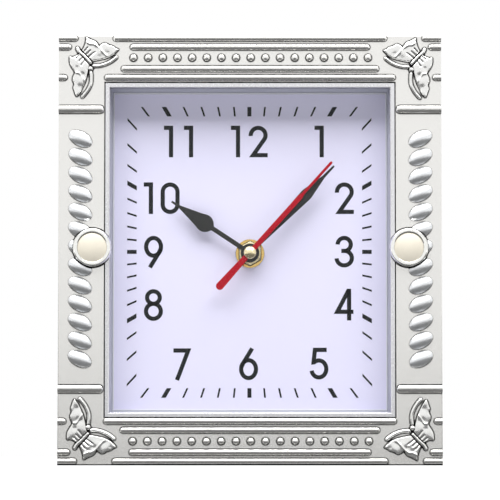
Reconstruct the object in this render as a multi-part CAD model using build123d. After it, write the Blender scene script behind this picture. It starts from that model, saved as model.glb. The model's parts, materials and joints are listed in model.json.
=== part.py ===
from build123d import *
import os
from math import atan2, copysign, cos, degrees, hypot, radians, sin

# Photo frame clock. Millimetres, Z up, the dial faces -Y, and X runs to the right of someone reading it.
# The origin is under the middle of the case, on the surface it stands on.
# A depth is measured backwards from the flat face of the front frame.

# Front frame
frame_width = 180.0
frame_height = 202.0
side_border = 21.6
end_border = 22.1
face_plate = 2.5
side_wall = 2.5
rear_rim = 3.0
edge_round = 0.8
boss_inset = 7.0
boss_radius = 3.5

# Relief on the frame: half-round bars, beads, slanted beans and corner butterflies
bar_radius = 1.6
edge_bar_half = 64.5
outer_bar_half = 56.5
inner_bar_half = 60.7
sill_bar_half = 68.5
outer_bar_row = 16.3
bead_row = 11.2
inner_bar_row = 6.0
sill_bar_row = 1.85
edge_stub = 9.1
outer_stub = 6.0
sill_stub = 4.1
bead_radius = 1.97
bead_pitch = 6.9
bead_count = 17
divider_radius = 2.15
divider_offset = 65.7
divider_end_gap = 0.2
bean_half_length = 6.55
bean_half_width = 4.05
bean_sink = 1.3
bean_tilt = 27.0
bean_pitch = 8.63
bean_count = 13
bean_inset = 10.15
bean_root = 1.0
wing_rise = 1.3
feeler_rise = 1.0
feeler_width = 1.8
thorax_half_length = 5.2
thorax_radius = 1.2
thorax_tilt = 46.0
head_radius = 1.1
relief_root = 0.6

# Cabochons in their rings
cabochon_radius = 6.9
cabochon_skirt = 1.4
cabochon_rise = 4.2
ring_radius = 9.1
ring_bore = 7.0
ring_height = 3.0
ring_inset = 15.8
ring_lift = 0.7
ring_footprint_gap = 0.2

# Bezel, lens, dial surround and dial
bezel_gap = 0.3
bezel_recess = 0.3
bezel_strip = 2.25
bezel_flange = 3.2
lens_thickness = 1.8
lens_lap = 1.3
lens_clearance = 0.15
recess_depth = 14.0
surround_wall = 1.6
surround_taper = 1.6
surround_front_flange = 4.2
surround_rear_flange = 9.2
surround_flange_thickness = 1.8
tab_radius = 3.5
tab_offset = 40.0
dial_thickness = 0.8
dial_edge = 2.0

# Screws
screw_shank = 1.4
screw_head = 3.0
screw_head_height = 1.8
screw_length = 9.0
screw_clearance = 0.1
screw_end_room = 1.0
screw_head_draft = 0.9
small_shank = 1.0
small_head = 2.2
small_head_height = 1.4
small_length = 6.0
small_boss = 2.8

# Hands and what clamps the movement to the dial
hub_drop = 1.0
hour_angle = 303.4
minute_angle = 44.0
second_angle = 42.0
hour_reach = 44.4
minute_reach = 57.2
second_reach = 57.8
second_tail = 21.9
hour_hub = 3.6
hour_shaft_half = 1.1
spade_start = 21.6
spade_half = 4.15
spade_crown = 4.2
hour_needle = 4.6
needle_half = 0.7
tip_half = 0.45
minute_hub = 4.4
minute_root_half = 1.0
lance_half = 2.8
lance_widest = 38.5
minute_needle = 7.1
second_hub = 2.4
second_root_half = 1.2
second_step = 35.6
second_step_run = 1.6
second_tip_half = 0.65
tail_half = 1.85
hand_thickness = 0.5
hand_gap = 1.1
cap_radius = 2.95
cap_height = 1.8
cap_skirt = 0.5
washer_radius = 6.8
washer_thickness = 0.5
nut_across_flats = 10.0
nut_height = 2.2
bush_radius = 4.0
bush_bore = 2.45
bush_lip = 0.3
bush_flange = 5.5
bush_flange_thickness = 0.4
gasket_radius = 9.0
gasket_thickness = 1.0
seat_clearance = 0.05
hand_bore_clearance = 0.02

# Movement case
movement_size = 56.0
movement_thickness = 16.5
movement_floor = 1.2
movement_wall = 1.5
movement_split = 10.2
cover_wall = 1.3
gear_plate_thickness = 1.0
gear_plate_width = 30.0
gear_plate_low = -10.4
gear_plate_high = 18.5
post_radius = 1.5

# Wheel train
wheel_thickness = 0.8
wheel_gap = 0.8
first_gap = 0.9
pinion_overhang = 0.3
arbor_radius = 0.5
pivot_radius = 0.4
pivot_depth = 0.7
running_clearance = 0.05
hour_pipe_radius = 2.4
hour_pipe_bore = 1.45
minute_pipe_radius = 1.4
minute_pipe_bore = 0.58
stud_radius = 0.6
wheel_addendum = 0.85
wheel_dedendum = 1.25
wheel_tip_share = 0.10
wheel_root_share = 0.24
pinion_addendum = 0.80
pinion_dedendum = 1.35
pinion_tip_share = 0.09
pinion_root_share = 0.19
motion_distance = 7.5
third_distance = 7.92
intermediate_distance = 8.16
rotor_distance = 7.0
motion_direction = 90.0
third_direction = 150.0
intermediate_direction = 30.0
rotor_direction = 75.0
knob_direction = 120.0
minute_pinion_teeth = 12
motion_teeth = 36
motion_pinion_teeth = 10
hour_teeth = 40
knob_teeth = 16
centre_teeth = 60
third_pinion_teeth = 8
third_teeth = 64
seconds_pinion_teeth = 8
seconds_teeth = 40
intermediate_pinion_teeth = 8
intermediate_teeth = 48
rotor_teeth = 8
magnet_radius = 2.6
knob_shaft = 1.5
knob_pivot = 0.8
knob_radius = 6.0
knob_height = 2.5
knob_gap = 0.4
knob_grips = 12
knob_grip_radius = 0.7

# Motor, circuit and cell
stator_thickness = 1.0
stator_hole = 3.1
stator_eye = 5.0
stator_leg = 4.0
coil_height = 22.3
coil_left = 0.5
coil_right = 23.5
stator_knee = 5.7
core_thickness = 1.0
core_width = 2.4
bobbin_radius = 1.9
bobbin_flange = 3.6
bobbin_flange_thickness = 0.8
bobbin_end_gap = 2.6
winding_radius = 3.2
board_width = 10.0
board_height = 28.0
board_thickness = 1.2
board_x = -21.0
board_z = 6.0
board_depth = 7.5
board_post_offset = 10.0
crystal_radius = 1.0
crystal_length = 6.0
chip_radius = 2.2
chip_height = 1.0
cell_radius = 7.1
cell_length = 49.2
button_radius = 2.7
button_length = 1.3
cell_clearance = 0.15
divider_wall = 1.1
contact_thickness = 0.5
contact_width = 9.0
contact_bump = 2.5
contact_gap = 0.1

# Back panel and easel strut
panel_thickness = 2.0
panel_gap = 0.7
panel_clearance = 0.3
window_margin = 2.0
keyhole_radius = 4.5
keyhole_slot = 2.2
keyhole_rise = 10.0
keyhole_below_top = 32.0
strut_below_window = 6.0
strut_top_width = 22.0
strut_foot_width = 44.0
strut_thickness = 2.4
strut_lift = 0.2
strut_floor_gap = 0.5
strut_notch_gap = 0.6
strut_shoulder = 4.0
strut_tail = 4.0
strut_tail_thickness = 0.8
hinge_pin_radius = 1.0
hinge_clearance = 0.05
lug_width = 4.0
lug_gap = 0.3
lug_wall = 1.2

# Depths of the stack, front to back
lens_front = face_plate
lens_rear = lens_front + lens_thickness
dial_front = recess_depth
dial_rear = dial_front + dial_thickness
movement_front = dial_rear + gasket_thickness
movement_rear = movement_front + movement_thickness
panel_front = movement_rear + panel_gap
panel_rear = panel_front + panel_thickness
case_depth = panel_rear + rear_rim
depth_middle = (case_depth - cabochon_rise) / 2
nut_rear = dial_front - washer_thickness
nut_front = nut_rear - nut_height
bush_front = nut_front - bush_lip
hour_hand_rear = bush_front - hand_gap / 2
hour_hand_front = hour_hand_rear - hand_thickness
minute_hand_rear = hour_hand_front - hand_gap
minute_hand_front = minute_hand_rear - hand_thickness
second_hand_rear = minute_hand_front - hand_gap
second_hand_front = second_hand_rear - hand_thickness
floor_rear = movement_front + movement_floor
split_depth = movement_front + movement_split

# Places that several pieces share
middle_z = frame_height / 2
hub_z = middle_z - hub_drop
opening_half_width = frame_width / 2 - side_border
opening_half_height = frame_height / 2 - end_border
bezel_half_width = opening_half_width - bezel_gap
bezel_half_height = opening_half_height - bezel_gap
sight_half_width = bezel_half_width - bezel_strip
sight_half_height = bezel_half_height - bezel_strip
flange_half_width = sight_half_width + surround_rear_flange
flange_half_height = sight_half_height + surround_rear_flange
boss_x = frame_width / 2 - side_wall - boss_inset
boss_low = side_wall + boss_inset
boss_high = frame_height - boss_low
tab_x = flange_half_width + tab_radius
ring_x = frame_width / 2 - ring_inset
ring_z = middle_z + ring_lift
movement_half = movement_size / 2
inner_half = movement_half - movement_wall
cell_z = cell_radius + cell_clearance - inner_half
cell_depth = floor_rear + cell_clearance + cell_radius
bay_top = cell_z + cell_radius + cell_clearance
hinge_depth = panel_rear + strut_lift + strut_thickness / 2
strut_pivot_height = hub_z - movement_half - window_margin - strut_below_window
keyhole_z = frame_height - keyhole_below_top
panel_screw_points = [(side * boss_x, z) for side in (-1, 1) for z in (boss_low, boss_high)]
tab_points = [(side * tab_x, middle_z + up * tab_offset) for side in (-1, 1) for up in (-1, 1)]


def at_depth(depth):
    """Drawing plane parallel to the dial, its X to the right and its Y upwards."""
    return Plane(origin=(0, depth - depth_middle, 0), x_dir=(1, 0, 0), z_dir=(0, -1, 0))


def slab(outline, near, far):
    """Plate of the given outline, from one depth to another."""
    return extrude(at_depth(far) * outline, amount=far - near)


def place(x, depth, z):
    """Position of a point given by its depth behind the face."""
    return Pos(x, depth - depth_middle, z)


def block(half_width, half_height, near, far):
    """Plate centred on the frame."""
    return slab(Pos(0, middle_z) * Rectangle(2 * half_width, 2 * half_height), near, far)


def post(radius, near, far, x=0.0, z=0.0):
    """Round bar along the depth, placed from the hub of the hands."""
    return slab(Pos(x, hub_z + z) * Circle(radius), near, far)


def strip(start, end, width):
    """Flat bar with round ends between two points."""
    run = (end[0] - start[0], end[1] - start[1])
    turn = degrees(atan2(run[1], run[0]))
    middle = Pos((start[0] + end[0]) / 2, (start[1] + end[1]) / 2)
    return middle * Rot(0, 0, turn) * SlotCenterToCenter(hypot(*run), width)


def around(direction, distance, start=(0.0, 0.0)):
    """Point at a distance from another, in a direction counted from the right."""
    angle = radians(direction)
    return (start[0] + distance * cos(angle), start[1] + distance * sin(angle))


def turned(*profile):
    """Body of revolution about the depth axis, from (radius, depth) points."""
    face = make_face(Polyline(*[(radius, depth, 0) for radius, depth in profile], close=True))
    return revolve(face, axis=Axis.Y)


def four_corners(shape):
    """A shape drawn in the upper left corner, with its three mirror images."""
    across = Plane(origin=(0, 0, 0), z_dir=(1, 0, 0))
    upright = Plane(origin=(0, 0, middle_z), z_dir=(0, 0, 1))
    left = [shape, mirror(shape, about=upright)]
    return left + [mirror(one, about=across) for one in left]


# Relief of the front frame


def rod(length, radius, flat_start=False):
    """Round bar along X from the origin, with ball ends, or a flat first end."""
    last_ball = RadiusArc((length - radius, radius), (length, 0), radius)
    if flat_start:
        first = Line((0, 0), (0, radius))
        side = Line((0, radius), (length - radius, radius))
    else:
        first = RadiusArc((0, 0), (radius, radius), radius)
        side = Line((radius, radius), (length - radius, radius))
    profile = make_face([first, side, last_ball, Line((length, 0), (0, 0))])
    return revolve(profile, axis=Axis.X)


def frieze():
    """Bars, stubs and bead row of the top border."""
    opening_top = middle_z + opening_half_height
    edge_row = end_border - bar_radius
    rows = [
        (edge_row, edge_bar_half),
        (outer_bar_row, outer_bar_half),
        (inner_bar_row, inner_bar_half),
        (sill_bar_row, sill_bar_half),
    ]
    pieces = []
    for row, half in rows:
        pieces.append(place(-half, 0, opening_top + row) * rod(2 * half, bar_radius))
    stubs = [(edge_row, edge_stub), (outer_bar_row, outer_stub), (sill_bar_row, sill_stub)]
    for row, length in stubs:
        stub = place(-frame_width / 2, 0, opening_top + row) * rod(length, bar_radius, flat_start=True)
        pieces.append(stub)
        pieces.append(mirror(stub, about=Plane.YZ))
    for index in range(bead_count):
        x = (index - (bead_count - 1) / 2) * bead_pitch
        pieces.append(place(x, 0, opening_top + bead_row) * Sphere(bead_radius))
    return pieces


def bean_column(side):
    """Column of slanted beans on one side border, cut flat inside the plate."""
    arc = EllipticalCenterArc((0, 0), bean_half_length, bean_half_width, 0, arc_size=180)
    bean = revolve(make_face([arc, Line(arc @ 1, arc @ 0)]), axis=Axis.X)
    column = []
    for index in range(bean_count):
        z = middle_z + (index - (bean_count - 1) / 2) * bean_pitch
        x = side * (frame_width / 2 - bean_inset)
        column.append(place(x, bean_sink, z) * Rot(0, -side * bean_tilt, 0) * bean)
    front_room = slab(Pos(0, middle_z) * Rectangle(frame_width, frame_height), -cabochon_rise, bean_root)
    seat = slab(Pos(side * ring_x, ring_z) * Circle(ring_radius + ring_footprint_gap), -cabochon_rise, 0)
    shaped = []
    for bean in column:
        shaped.extend((bean & front_room).cut(seat).solids())
    return shaped


def corner_point(inward, down):
    """Point of the upper left corner, from its two outer edges."""
    return (-frame_width / 2 + inward, frame_height - down)


def curve_through(*points):
    return Spline(*[corner_point(*point) for point in points])


def butterfly():
    """Wings, body, head and feelers of the upper left butterfly."""
    upper_wing = make_face([
        curve_through((10.8, 7.75), (12.4, 3.8), (12.45, 0.9)),
        curve_through((12.45, 0.9), (15.0, 2.45), (17.4, 3.5), (18.9, 5.7)),
        curve_through((18.9, 5.7), (21.9, 4.1), (25.2, 6.1), (28.5, 7.1)),
        curve_through((28.5, 7.1), (25.6, 10.0), (22.0, 11.75), (15.5, 13.1)),
        Line(corner_point(15.5, 13.1), corner_point(10.8, 7.75)),
    ])
    lower_wing = make_face([
        curve_through((9.3, 9.7), (6.6, 10.9), (4.8, 10.4)),
        curve_through((4.8, 10.4), (5.1, 14.3), (7.5, 18.3)),
        curve_through((7.5, 18.3), (6.4, 21.2), (7.0, 26.8), (8.4, 30.0)),
        curve_through((8.4, 30.0), (10.4, 27.3), (12.7, 22.0), (14.0, 15.2)),
        Line(corner_point(14.0, 15.2), corner_point(9.3, 9.7)),
    ])
    upper_feeler = ThreePointArc(corner_point(16.3, 15.1), corner_point(21.9, 14.2), corner_point(26.9, 11.1))
    lower_feeler = ThreePointArc(corner_point(15.0, 18.2), corner_point(14.9, 23.6), corner_point(11.0, 29.7))
    ellipse = EllipticalCenterArc((0, 0), thorax_half_length, thorax_radius, 0, arc_size=180)
    thorax = revolve(make_face([ellipse, Line(ellipse @ 1, ellipse @ 0)]), axis=Axis.X)
    thorax_x, thorax_z = corner_point(11.7, 10.9)
    head_x, head_z = corner_point(14.8, 16.1)
    pieces = [
        slab(upper_wing, -wing_rise, relief_root),
        slab(lower_wing, -wing_rise, relief_root),
        slab(trace(upper_feeler, feeler_width), -feeler_rise, relief_root),
        slab(trace(lower_feeler, feeler_width), -feeler_rise, relief_root),
        place(thorax_x, -relief_root, thorax_z) * Rot(0, thorax_tilt, 0) * thorax,
        place(head_x, 0, head_z) * Sphere(head_radius),
    ]
    return pieces


def front_frame():
    """Silver moulding: plate with the dial opening, deep side walls, screw bosses and relief."""
    half_width = frame_width / 2
    half_height = frame_height / 2
    shell = block(half_width, half_height, 0, case_depth)
    front_edges = shell.faces().sort_by(Axis.Y)[0].edges()
    shell = fillet(front_edges, edge_round)
    shell -= block(half_width - side_wall, half_height - side_wall, face_plate, case_depth)
    shell -= block(opening_half_width, opening_half_height, 0, face_plate)
    notch = Pos(0, 0) * Rectangle(strut_foot_width + 2 * strut_notch_gap, 2 * side_wall)
    shell -= slab(notch, panel_rear, case_depth)
    panel_hole_end = panel_rear - screw_length - screw_end_room
    seat = dial_front - surround_flange_thickness
    tab_hole_end = dial_front - small_length - screw_end_room
    for spot in (Pos(*point) for point in panel_screw_points):
        shell += slab(spot * Circle(boss_radius), face_plate - relief_root, panel_front)
        shell -= slab(spot * Circle(screw_shank + screw_clearance), panel_hole_end, panel_front)
    for spot in (Pos(*point) for point in tab_points):
        shell += slab(spot * Circle(small_boss), face_plate - relief_root, seat)
        shell -= slab(spot * Circle(small_shank + screw_clearance), tab_hole_end, seat)
    upright = Plane(origin=(0, 0, middle_z), z_dir=(0, 0, 1))
    top = frieze()
    relief = top + [mirror(piece, about=upright) for piece in top]
    divider_length = side_border - divider_end_gap
    divider = place(-half_width, 0, middle_z + divider_offset) * rod(divider_length, divider_radius)
    relief += four_corners(divider)
    for piece in butterfly():
        relief += four_corners(piece)
    relief += bean_column(-1) + bean_column(1)
    return shell.fuse(*relief)


# Bezel, lens, surround and dial


def bezel():
    """Strip round the dial, with a flange that the surround clamps behind the frame."""
    flange_half = (opening_half_width + bezel_flange, opening_half_height + bezel_flange)
    pocket = (sight_half_width + lens_lap + lens_clearance, sight_half_height + lens_lap + lens_clearance)
    ring = block(bezel_half_width, bezel_half_height, bezel_recess, lens_front)
    ring += block(*flange_half, lens_front, lens_rear)
    ring -= block(sight_half_width, sight_half_height, bezel_recess, lens_front)
    return ring - block(*pocket, lens_front, lens_rear)


def lens():
    """Clear pane in the pocket of the bezel."""
    return block(sight_half_width + lens_lap, sight_half_height + lens_lap, lens_front, lens_rear)


def dial_surround():
    """Tapered wall between the lens and the dial, flanged at both ends."""
    front_flange = (sight_half_width + surround_front_flange, sight_half_height + surround_front_flange)
    wall = (sight_half_width + surround_wall, sight_half_height + surround_wall)
    flange_near = dial_front - surround_flange_thickness
    body = block(*front_flange, lens_rear, lens_rear + surround_flange_thickness)
    body += block(*wall, lens_rear, dial_front)
    body += block(flange_half_width, flange_half_height, flange_near, dial_front)
    for x, z in tab_points:
        tab = strip((x - copysign(tab_radius, x), z), (x, z), 2 * tab_radius)
        body += slab(tab, flange_near, dial_front)
    front = Pos(0, middle_z) * Rectangle(2 * sight_half_width, 2 * sight_half_height)
    rear_size = (2 * (sight_half_width - surround_taper), 2 * (sight_half_height - surround_taper))
    rear = Pos(0, middle_z) * Rectangle(*rear_size)
    body -= loft([at_depth(lens_rear) * front, at_depth(dial_front) * rear])
    for point in tab_points:
        hole = Pos(*point) * Circle(small_shank + screw_clearance)
        body -= slab(hole, flange_near, dial_front)
    return body


def dial():
    """Thin printed plate with the hole for the centre bush."""
    plate = block(flange_half_width - dial_edge, flange_half_height - dial_edge, dial_front, dial_rear)
    return plate - post(bush_radius + seat_clearance, dial_front, dial_rear)


def dome(radius, skirt, rise):
    """Round button with a straight skirt and a ball-shaped crown, rising towards the front."""
    crown_height = rise - skirt
    crown_radius = (radius**2 + crown_height**2) / (2 * crown_height)
    outline = [
        Line((0, 0), (radius, 0)),
        Line((radius, 0), (radius, -skirt)),
        RadiusArc((radius, -skirt), (0, -rise), crown_radius),
        Line((0, -rise), (0, 0)),
    ]
    return revolve(make_face(outline), axis=Axis.Y)


def cabochon(side):
    """Domed cream stone."""
    return place(side * ring_x, 0, ring_z) * dome(cabochon_radius, cabochon_skirt, cabochon_rise)


def cabochon_ring(side):
    """Bright ring with a rounded crest round the stone."""
    crest = (ring_radius - ring_bore) / 2
    shoulder = crest - ring_height
    outline = [
        Line((ring_bore, 0), (ring_radius, 0)),
        Line((ring_radius, 0), (ring_radius, shoulder)),
        ThreePointArc((ring_radius, shoulder), (ring_radius - crest, -ring_height), (ring_bore, shoulder)),
        Line((ring_bore, shoulder), (ring_bore, 0)),
    ]
    return place(side * ring_x, 0, ring_z) * revolve(make_face(outline), axis=Axis.Y)


def screw(shank, head, head_height, length):
    """Pan-head screw with its head seat at the origin and its shank towards the front."""
    return turned((0, 0), (head, 0), (head * screw_head_draft, head_height), (0, head_height)) + turned(
        (0, -length), (shank, -length), (shank, 0), (0, 0)
    )


def panel_screws():
    one = screw(screw_shank, screw_head, screw_head_height, screw_length)
    return Compound([place(x, panel_rear, z) * one for x, z in panel_screw_points])


def surround_screws():
    one = screw(small_shank, small_head, small_head_height, small_length)
    return Compound([place(x, dial_front, z) * one for x, z in tab_points])


# Back panel and strut


def back_panel():
    """Flat panel inside the rear rim, with a movement window, a keyhole and the strut's lugs."""
    half_width = frame_width / 2 - side_wall - panel_clearance
    half_height = frame_height / 2 - side_wall - panel_clearance
    panel = block(half_width, half_height, panel_front, panel_rear)
    window = movement_size + 2 * window_margin
    panel -= slab(Pos(0, hub_z) * Rectangle(window, window), panel_front, panel_rear)
    panel -= slab(Pos(0, keyhole_z) * Circle(keyhole_radius), panel_front, panel_rear)
    neck = strip((0, keyhole_z), (0, keyhole_z + keyhole_rise), 2 * keyhole_slot)
    panel -= slab(neck, panel_front, panel_rear)
    for point in panel_screw_points:
        hole = Pos(*point) * Circle(screw_shank + screw_clearance)
        panel -= slab(hole, panel_front, panel_rear)
    lug_radius = hinge_pin_radius + lug_wall
    foot_depth = hinge_depth - panel_rear
    bore = hinge_pin_radius + hand_bore_clearance
    for side in (-1, 1):
        x = side * (strut_top_width / 2 + lug_gap + lug_width / 2)
        pivot = place(x, hinge_depth, strut_pivot_height)
        lug = pivot * Rot(0, 90, 0) * Cylinder(lug_radius, lug_width)
        lug += pivot * Pos(0, -foot_depth / 2, 0) * Box(lug_width, foot_depth, 2 * lug_radius)
        lug_outline = Pos(x, strut_pivot_height) * Rectangle(lug_width, 2 * lug_radius)
        panel += lug & slab(lug_outline, panel_rear, case_depth)
        panel -= pivot * Rot(0, 90, 0) * Cylinder(bore, lug_width)
    return panel


def strut():
    """Easel leg, wider at its foot, with a barrel for the pin and a stop tail above it."""
    foot_z = strut_floor_gap
    near = panel_rear + strut_lift
    far = near + strut_thickness
    top = strut_pivot_height
    leg = Polyline(
        (-strut_top_width / 2, top),
        (strut_top_width / 2, top),
        (strut_top_width / 2, top - strut_shoulder),
        (strut_foot_width / 2, foot_z),
        (-strut_foot_width / 2, foot_z),
        (-strut_top_width / 2, top - strut_shoulder),
        close=True,
    )
    body = slab(make_face(leg), near, far)
    tail = Pos(0, top + strut_tail / 2) * Rectangle(strut_top_width, strut_tail)
    body += slab(tail, far - strut_tail_thickness, far)
    barrel = place(0, hinge_depth, top) * Rot(0, 90, 0) * Cylinder(strut_thickness / 2, strut_top_width)
    bore = hinge_pin_radius + hinge_clearance
    body = body + barrel
    return body - place(0, hinge_depth, top) * Rot(0, 90, 0) * Cylinder(bore, 2 * strut_top_width)


def strut_pin():
    """Pin through both lugs and the strut's barrel."""
    length = strut_top_width + 2 * (lug_gap + lug_width)
    return place(0, hinge_depth, strut_pivot_height) * Rot(0, 90, 0) * Cylinder(hinge_pin_radius, length)


# Hands and their clamp


def aim(outline, angle):
    """Turn an outline that points upwards to its place on the dial, clockwise."""
    return Pos(0, hub_z) * Rot(0, 0, -angle) * outline


def both_sides(*edges):
    """Close half an outline on the hand's own axis and mirror it."""
    half = make_face(list(edges) + [Line(edges[-1] @ 1, edges[0] @ 0)])
    return half + mirror(half, about=Plane.YZ)


def hour_hand():
    """Spade hand on the hour pipe."""
    neck = hour_reach - hour_needle
    widest = spade_start + spade_crown
    swell = (hour_shaft_half, spade_start)
    crown = (0.75 * spade_half, spade_start + 0.3 * spade_crown)
    flank = (0.72 * spade_half, widest + 0.32 * (neck - widest))
    outline = both_sides(
        Line((0, 0), (hour_shaft_half, 0)),
        Line((hour_shaft_half, 0), swell),
        Spline(swell, crown, (spade_half, widest), flank, (needle_half, neck)),
        Line((needle_half, neck), (tip_half, hour_reach)),
        Line((tip_half, hour_reach), (0, hour_reach)),
    )
    hand = slab(aim(outline + Circle(hour_hub), hour_angle), hour_hand_front, hour_hand_rear)
    return hand - post(hour_pipe_radius + hand_bore_clearance, hour_hand_front, hour_hand_rear)


def minute_hand():
    """Lance hand on the minute pipe."""
    neck = minute_reach - minute_needle
    outline = both_sides(
        Line((0, 0), (minute_root_half, 0)),
        Line((minute_root_half, 0), (lance_half, lance_widest)),
        Line((lance_half, lance_widest), (needle_half, neck)),
        Line((needle_half, neck), (tip_half, minute_reach)),
        Line((tip_half, minute_reach), (0, minute_reach)),
    )
    hand = slab(aim(outline + Circle(minute_hub), minute_angle), minute_hand_front, minute_hand_rear)
    return hand - post(minute_pipe_radius + hand_bore_clearance, minute_hand_front, minute_hand_rear)


def second_hand():
    """Slim hand with a stepped point and a tail that widens to a round end."""
    tail_end = tail_half - second_tail
    step_end = second_step + second_step_run
    outline = both_sides(
        Line((0, tail_end), (tail_half, tail_end)),
        Line((tail_half, tail_end), (second_root_half, 0)),
        Line((second_root_half, 0), (second_root_half, second_step)),
        Line((second_root_half, second_step), (second_tip_half, step_end)),
        Line((second_tip_half, step_end), (second_tip_half, second_reach)),
        Line((second_tip_half, second_reach), (0, second_reach)),
    )
    outline += Pos(0, tail_end) * Circle(tail_half)
    outline += Circle(second_hub)
    hand = slab(aim(outline, second_angle), second_hand_front, second_hand_rear)
    return hand - post(arbor_radius + hand_bore_clearance, second_hand_front, second_hand_rear)


def hand_cap():
    """Domed cap on the second hand."""
    return place(0, second_hand_front, hub_z) * dome(cap_radius, cap_skirt, cap_height)


def washer():
    disc = post(washer_radius, nut_rear, dial_front)
    return disc - post(bush_radius + seat_clearance, nut_rear, dial_front)


def hex_nut():
    hexagon = RegularPolygon(nut_across_flats / 2, 6, major_radius=False)
    nut = slab(Pos(0, hub_z) * hexagon, nut_front, nut_rear)
    return nut - post(bush_radius + seat_clearance, nut_front, nut_rear)


def centre_bush():
    """Threaded tube, flanged inside the movement case, that the hour pipe turns in."""
    tube = post(bush_radius, bush_front, floor_rear)
    tube += post(bush_flange, floor_rear, floor_rear + bush_flange_thickness)
    return tube - post(bush_bore, bush_front, floor_rear + bush_flange_thickness)


def gasket():
    ring = post(gasket_radius, dial_rear, movement_front)
    return ring - post(bush_radius + seat_clearance, dial_rear, movement_front)


# Wheel train


def layer(index):
    """Near and far depth of one wheel layer, counted from the front of the movement."""
    near = floor_rear + first_gap + index * (wheel_thickness + wheel_gap)
    return near, near + wheel_thickness


HOUR_LAYER, MOTION_LAYER, CENTRE_LAYER, THIRD_LAYER, SECONDS_LAYER, ROTOR_LAYER = range(6)
gear_plate_front = layer(ROTOR_LAYER)[1] + wheel_gap
gear_plate_rear = gear_plate_front + gear_plate_thickness

motion_spot = around(motion_direction, motion_distance)
third_spot = around(third_direction, third_distance)
intermediate_spot = around(intermediate_direction, intermediate_distance)
rotor_spot = around(rotor_direction, rotor_distance, intermediate_spot)
minute_module = 2 * motion_distance / (minute_pinion_teeth + motion_teeth)
hour_module = 2 * motion_distance / (motion_pinion_teeth + hour_teeth)
third_module = 2 * third_distance / (seconds_pinion_teeth + third_teeth)
centre_module = 2 * third_distance / (third_pinion_teeth + centre_teeth)
seconds_module = 2 * intermediate_distance / (intermediate_pinion_teeth + seconds_teeth)
rotor_module = 2 * rotor_distance / (rotor_teeth + intermediate_teeth)
knob_distance = minute_module * (motion_teeth + knob_teeth) / 2
knob_spot = around(knob_direction, knob_distance, motion_spot)


def toothed(teeth, module, phase, spot, near, far, pinion=False):
    """Spur gear with straight-sided teeth, one of them pointing in the phase direction."""
    addendum, dedendum = (pinion_addendum, pinion_dedendum) if pinion else (wheel_addendum, wheel_dedendum)
    tip, root = (pinion_tip_share, pinion_root_share) if pinion else (wheel_tip_share, wheel_root_share)
    pitch_radius = teeth * module / 2
    step = 360 / teeth
    corners = []
    for tooth in range(teeth):
        centre = phase + tooth * step
        corners.append(around(centre - root * step, pitch_radius - dedendum * module))
        corners.append(around(centre - tip * step, pitch_radius + addendum * module))
        corners.append(around(centre + tip * step, pitch_radius + addendum * module))
        corners.append(around(centre + root * step, pitch_radius - dedendum * module))
    outline = make_face(Polyline(*corners, close=True))
    return slab(Pos(spot[0], hub_z + spot[1]) * outline, near, far)


def mating_phase(phase, teeth, mate_teeth, direction):
    """Phase of a gear that meshes with another lying in the opposite direction."""
    ahead = (phase - direction) * teeth / mate_teeth
    return direction + 180 - ahead + 180 / mate_teeth


def widened(index):
    """Depths of a pinion that overhangs its wheel's mate on both sides."""
    near, far = layer(index)
    return near - pinion_overhang, far + pinion_overhang


def arbor(spot):
    """Steel arbor between the case floor and the gear plate."""
    body = post(arbor_radius, floor_rear + running_clearance, gear_plate_front - running_clearance, *spot)
    return body + post(pivot_radius, floor_rear - pivot_depth, gear_plate_rear - running_clearance, *spot)


minute_pinion_phase = motion_direction
motion_phase = mating_phase(minute_pinion_phase, minute_pinion_teeth, motion_teeth, motion_direction)
hour_phase = motion_direction
motion_pinion_phase = mating_phase(hour_phase, hour_teeth, motion_pinion_teeth, motion_direction)
knob_phase = mating_phase(motion_phase, motion_teeth, knob_teeth, knob_direction)
seconds_pinion_phase = third_direction
third_phase = mating_phase(seconds_pinion_phase, seconds_pinion_teeth, third_teeth, third_direction)
centre_phase = third_direction
third_pinion_phase = mating_phase(centre_phase, centre_teeth, third_pinion_teeth, third_direction)
seconds_phase = intermediate_direction
intermediate_pinion_phase = mating_phase(
    seconds_phase, seconds_teeth, intermediate_pinion_teeth, intermediate_direction
)
intermediate_phase = rotor_direction
rotor_phase = mating_phase(intermediate_phase, intermediate_teeth, rotor_teeth, rotor_direction)


def hour_wheel():
    """Hour wheel on its pipe, which turns in the bush."""
    near, far = layer(HOUR_LAYER)
    pipe_front = hour_hand_front - bush_lip
    wheel = toothed(hour_teeth, hour_module, hour_phase, (0, 0), near, far)
    wheel += post(hour_pipe_radius, pipe_front, far)
    return wheel - post(hour_pipe_bore, pipe_front, far)


def minute_wheel():
    """Centre wheel and minute pinion on the minute pipe."""
    pipe_front = minute_hand_front - bush_lip
    near, far = layer(CENTRE_LAYER)
    wheel = toothed(centre_teeth, centre_module, centre_phase, (0, 0), near, far)
    pinion = (minute_pinion_teeth, minute_module, minute_pinion_phase, (0, 0))
    wheel += toothed(*pinion, layer(MOTION_LAYER)[0] - pinion_overhang, near, pinion=True)
    wheel += post(minute_pipe_radius, pipe_front, far)
    return wheel - post(minute_pipe_bore, pipe_front, far)


def seconds_wheel():
    """Seconds wheel and pinion on the long arbor that carries the second hand."""
    wheel = toothed(seconds_teeth, seconds_module, seconds_phase, (0, 0), *layer(SECONDS_LAYER))
    pinion = (seconds_pinion_teeth, third_module, seconds_pinion_phase, (0, 0))
    pinion_front = layer(THIRD_LAYER)[0] - pinion_overhang
    wheel += toothed(*pinion, pinion_front, layer(SECONDS_LAYER)[0], pinion=True)
    wheel += post(arbor_radius, second_hand_front, gear_plate_front - running_clearance)
    return wheel + post(pivot_radius, gear_plate_front - pivot_depth, gear_plate_rear - running_clearance)


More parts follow.
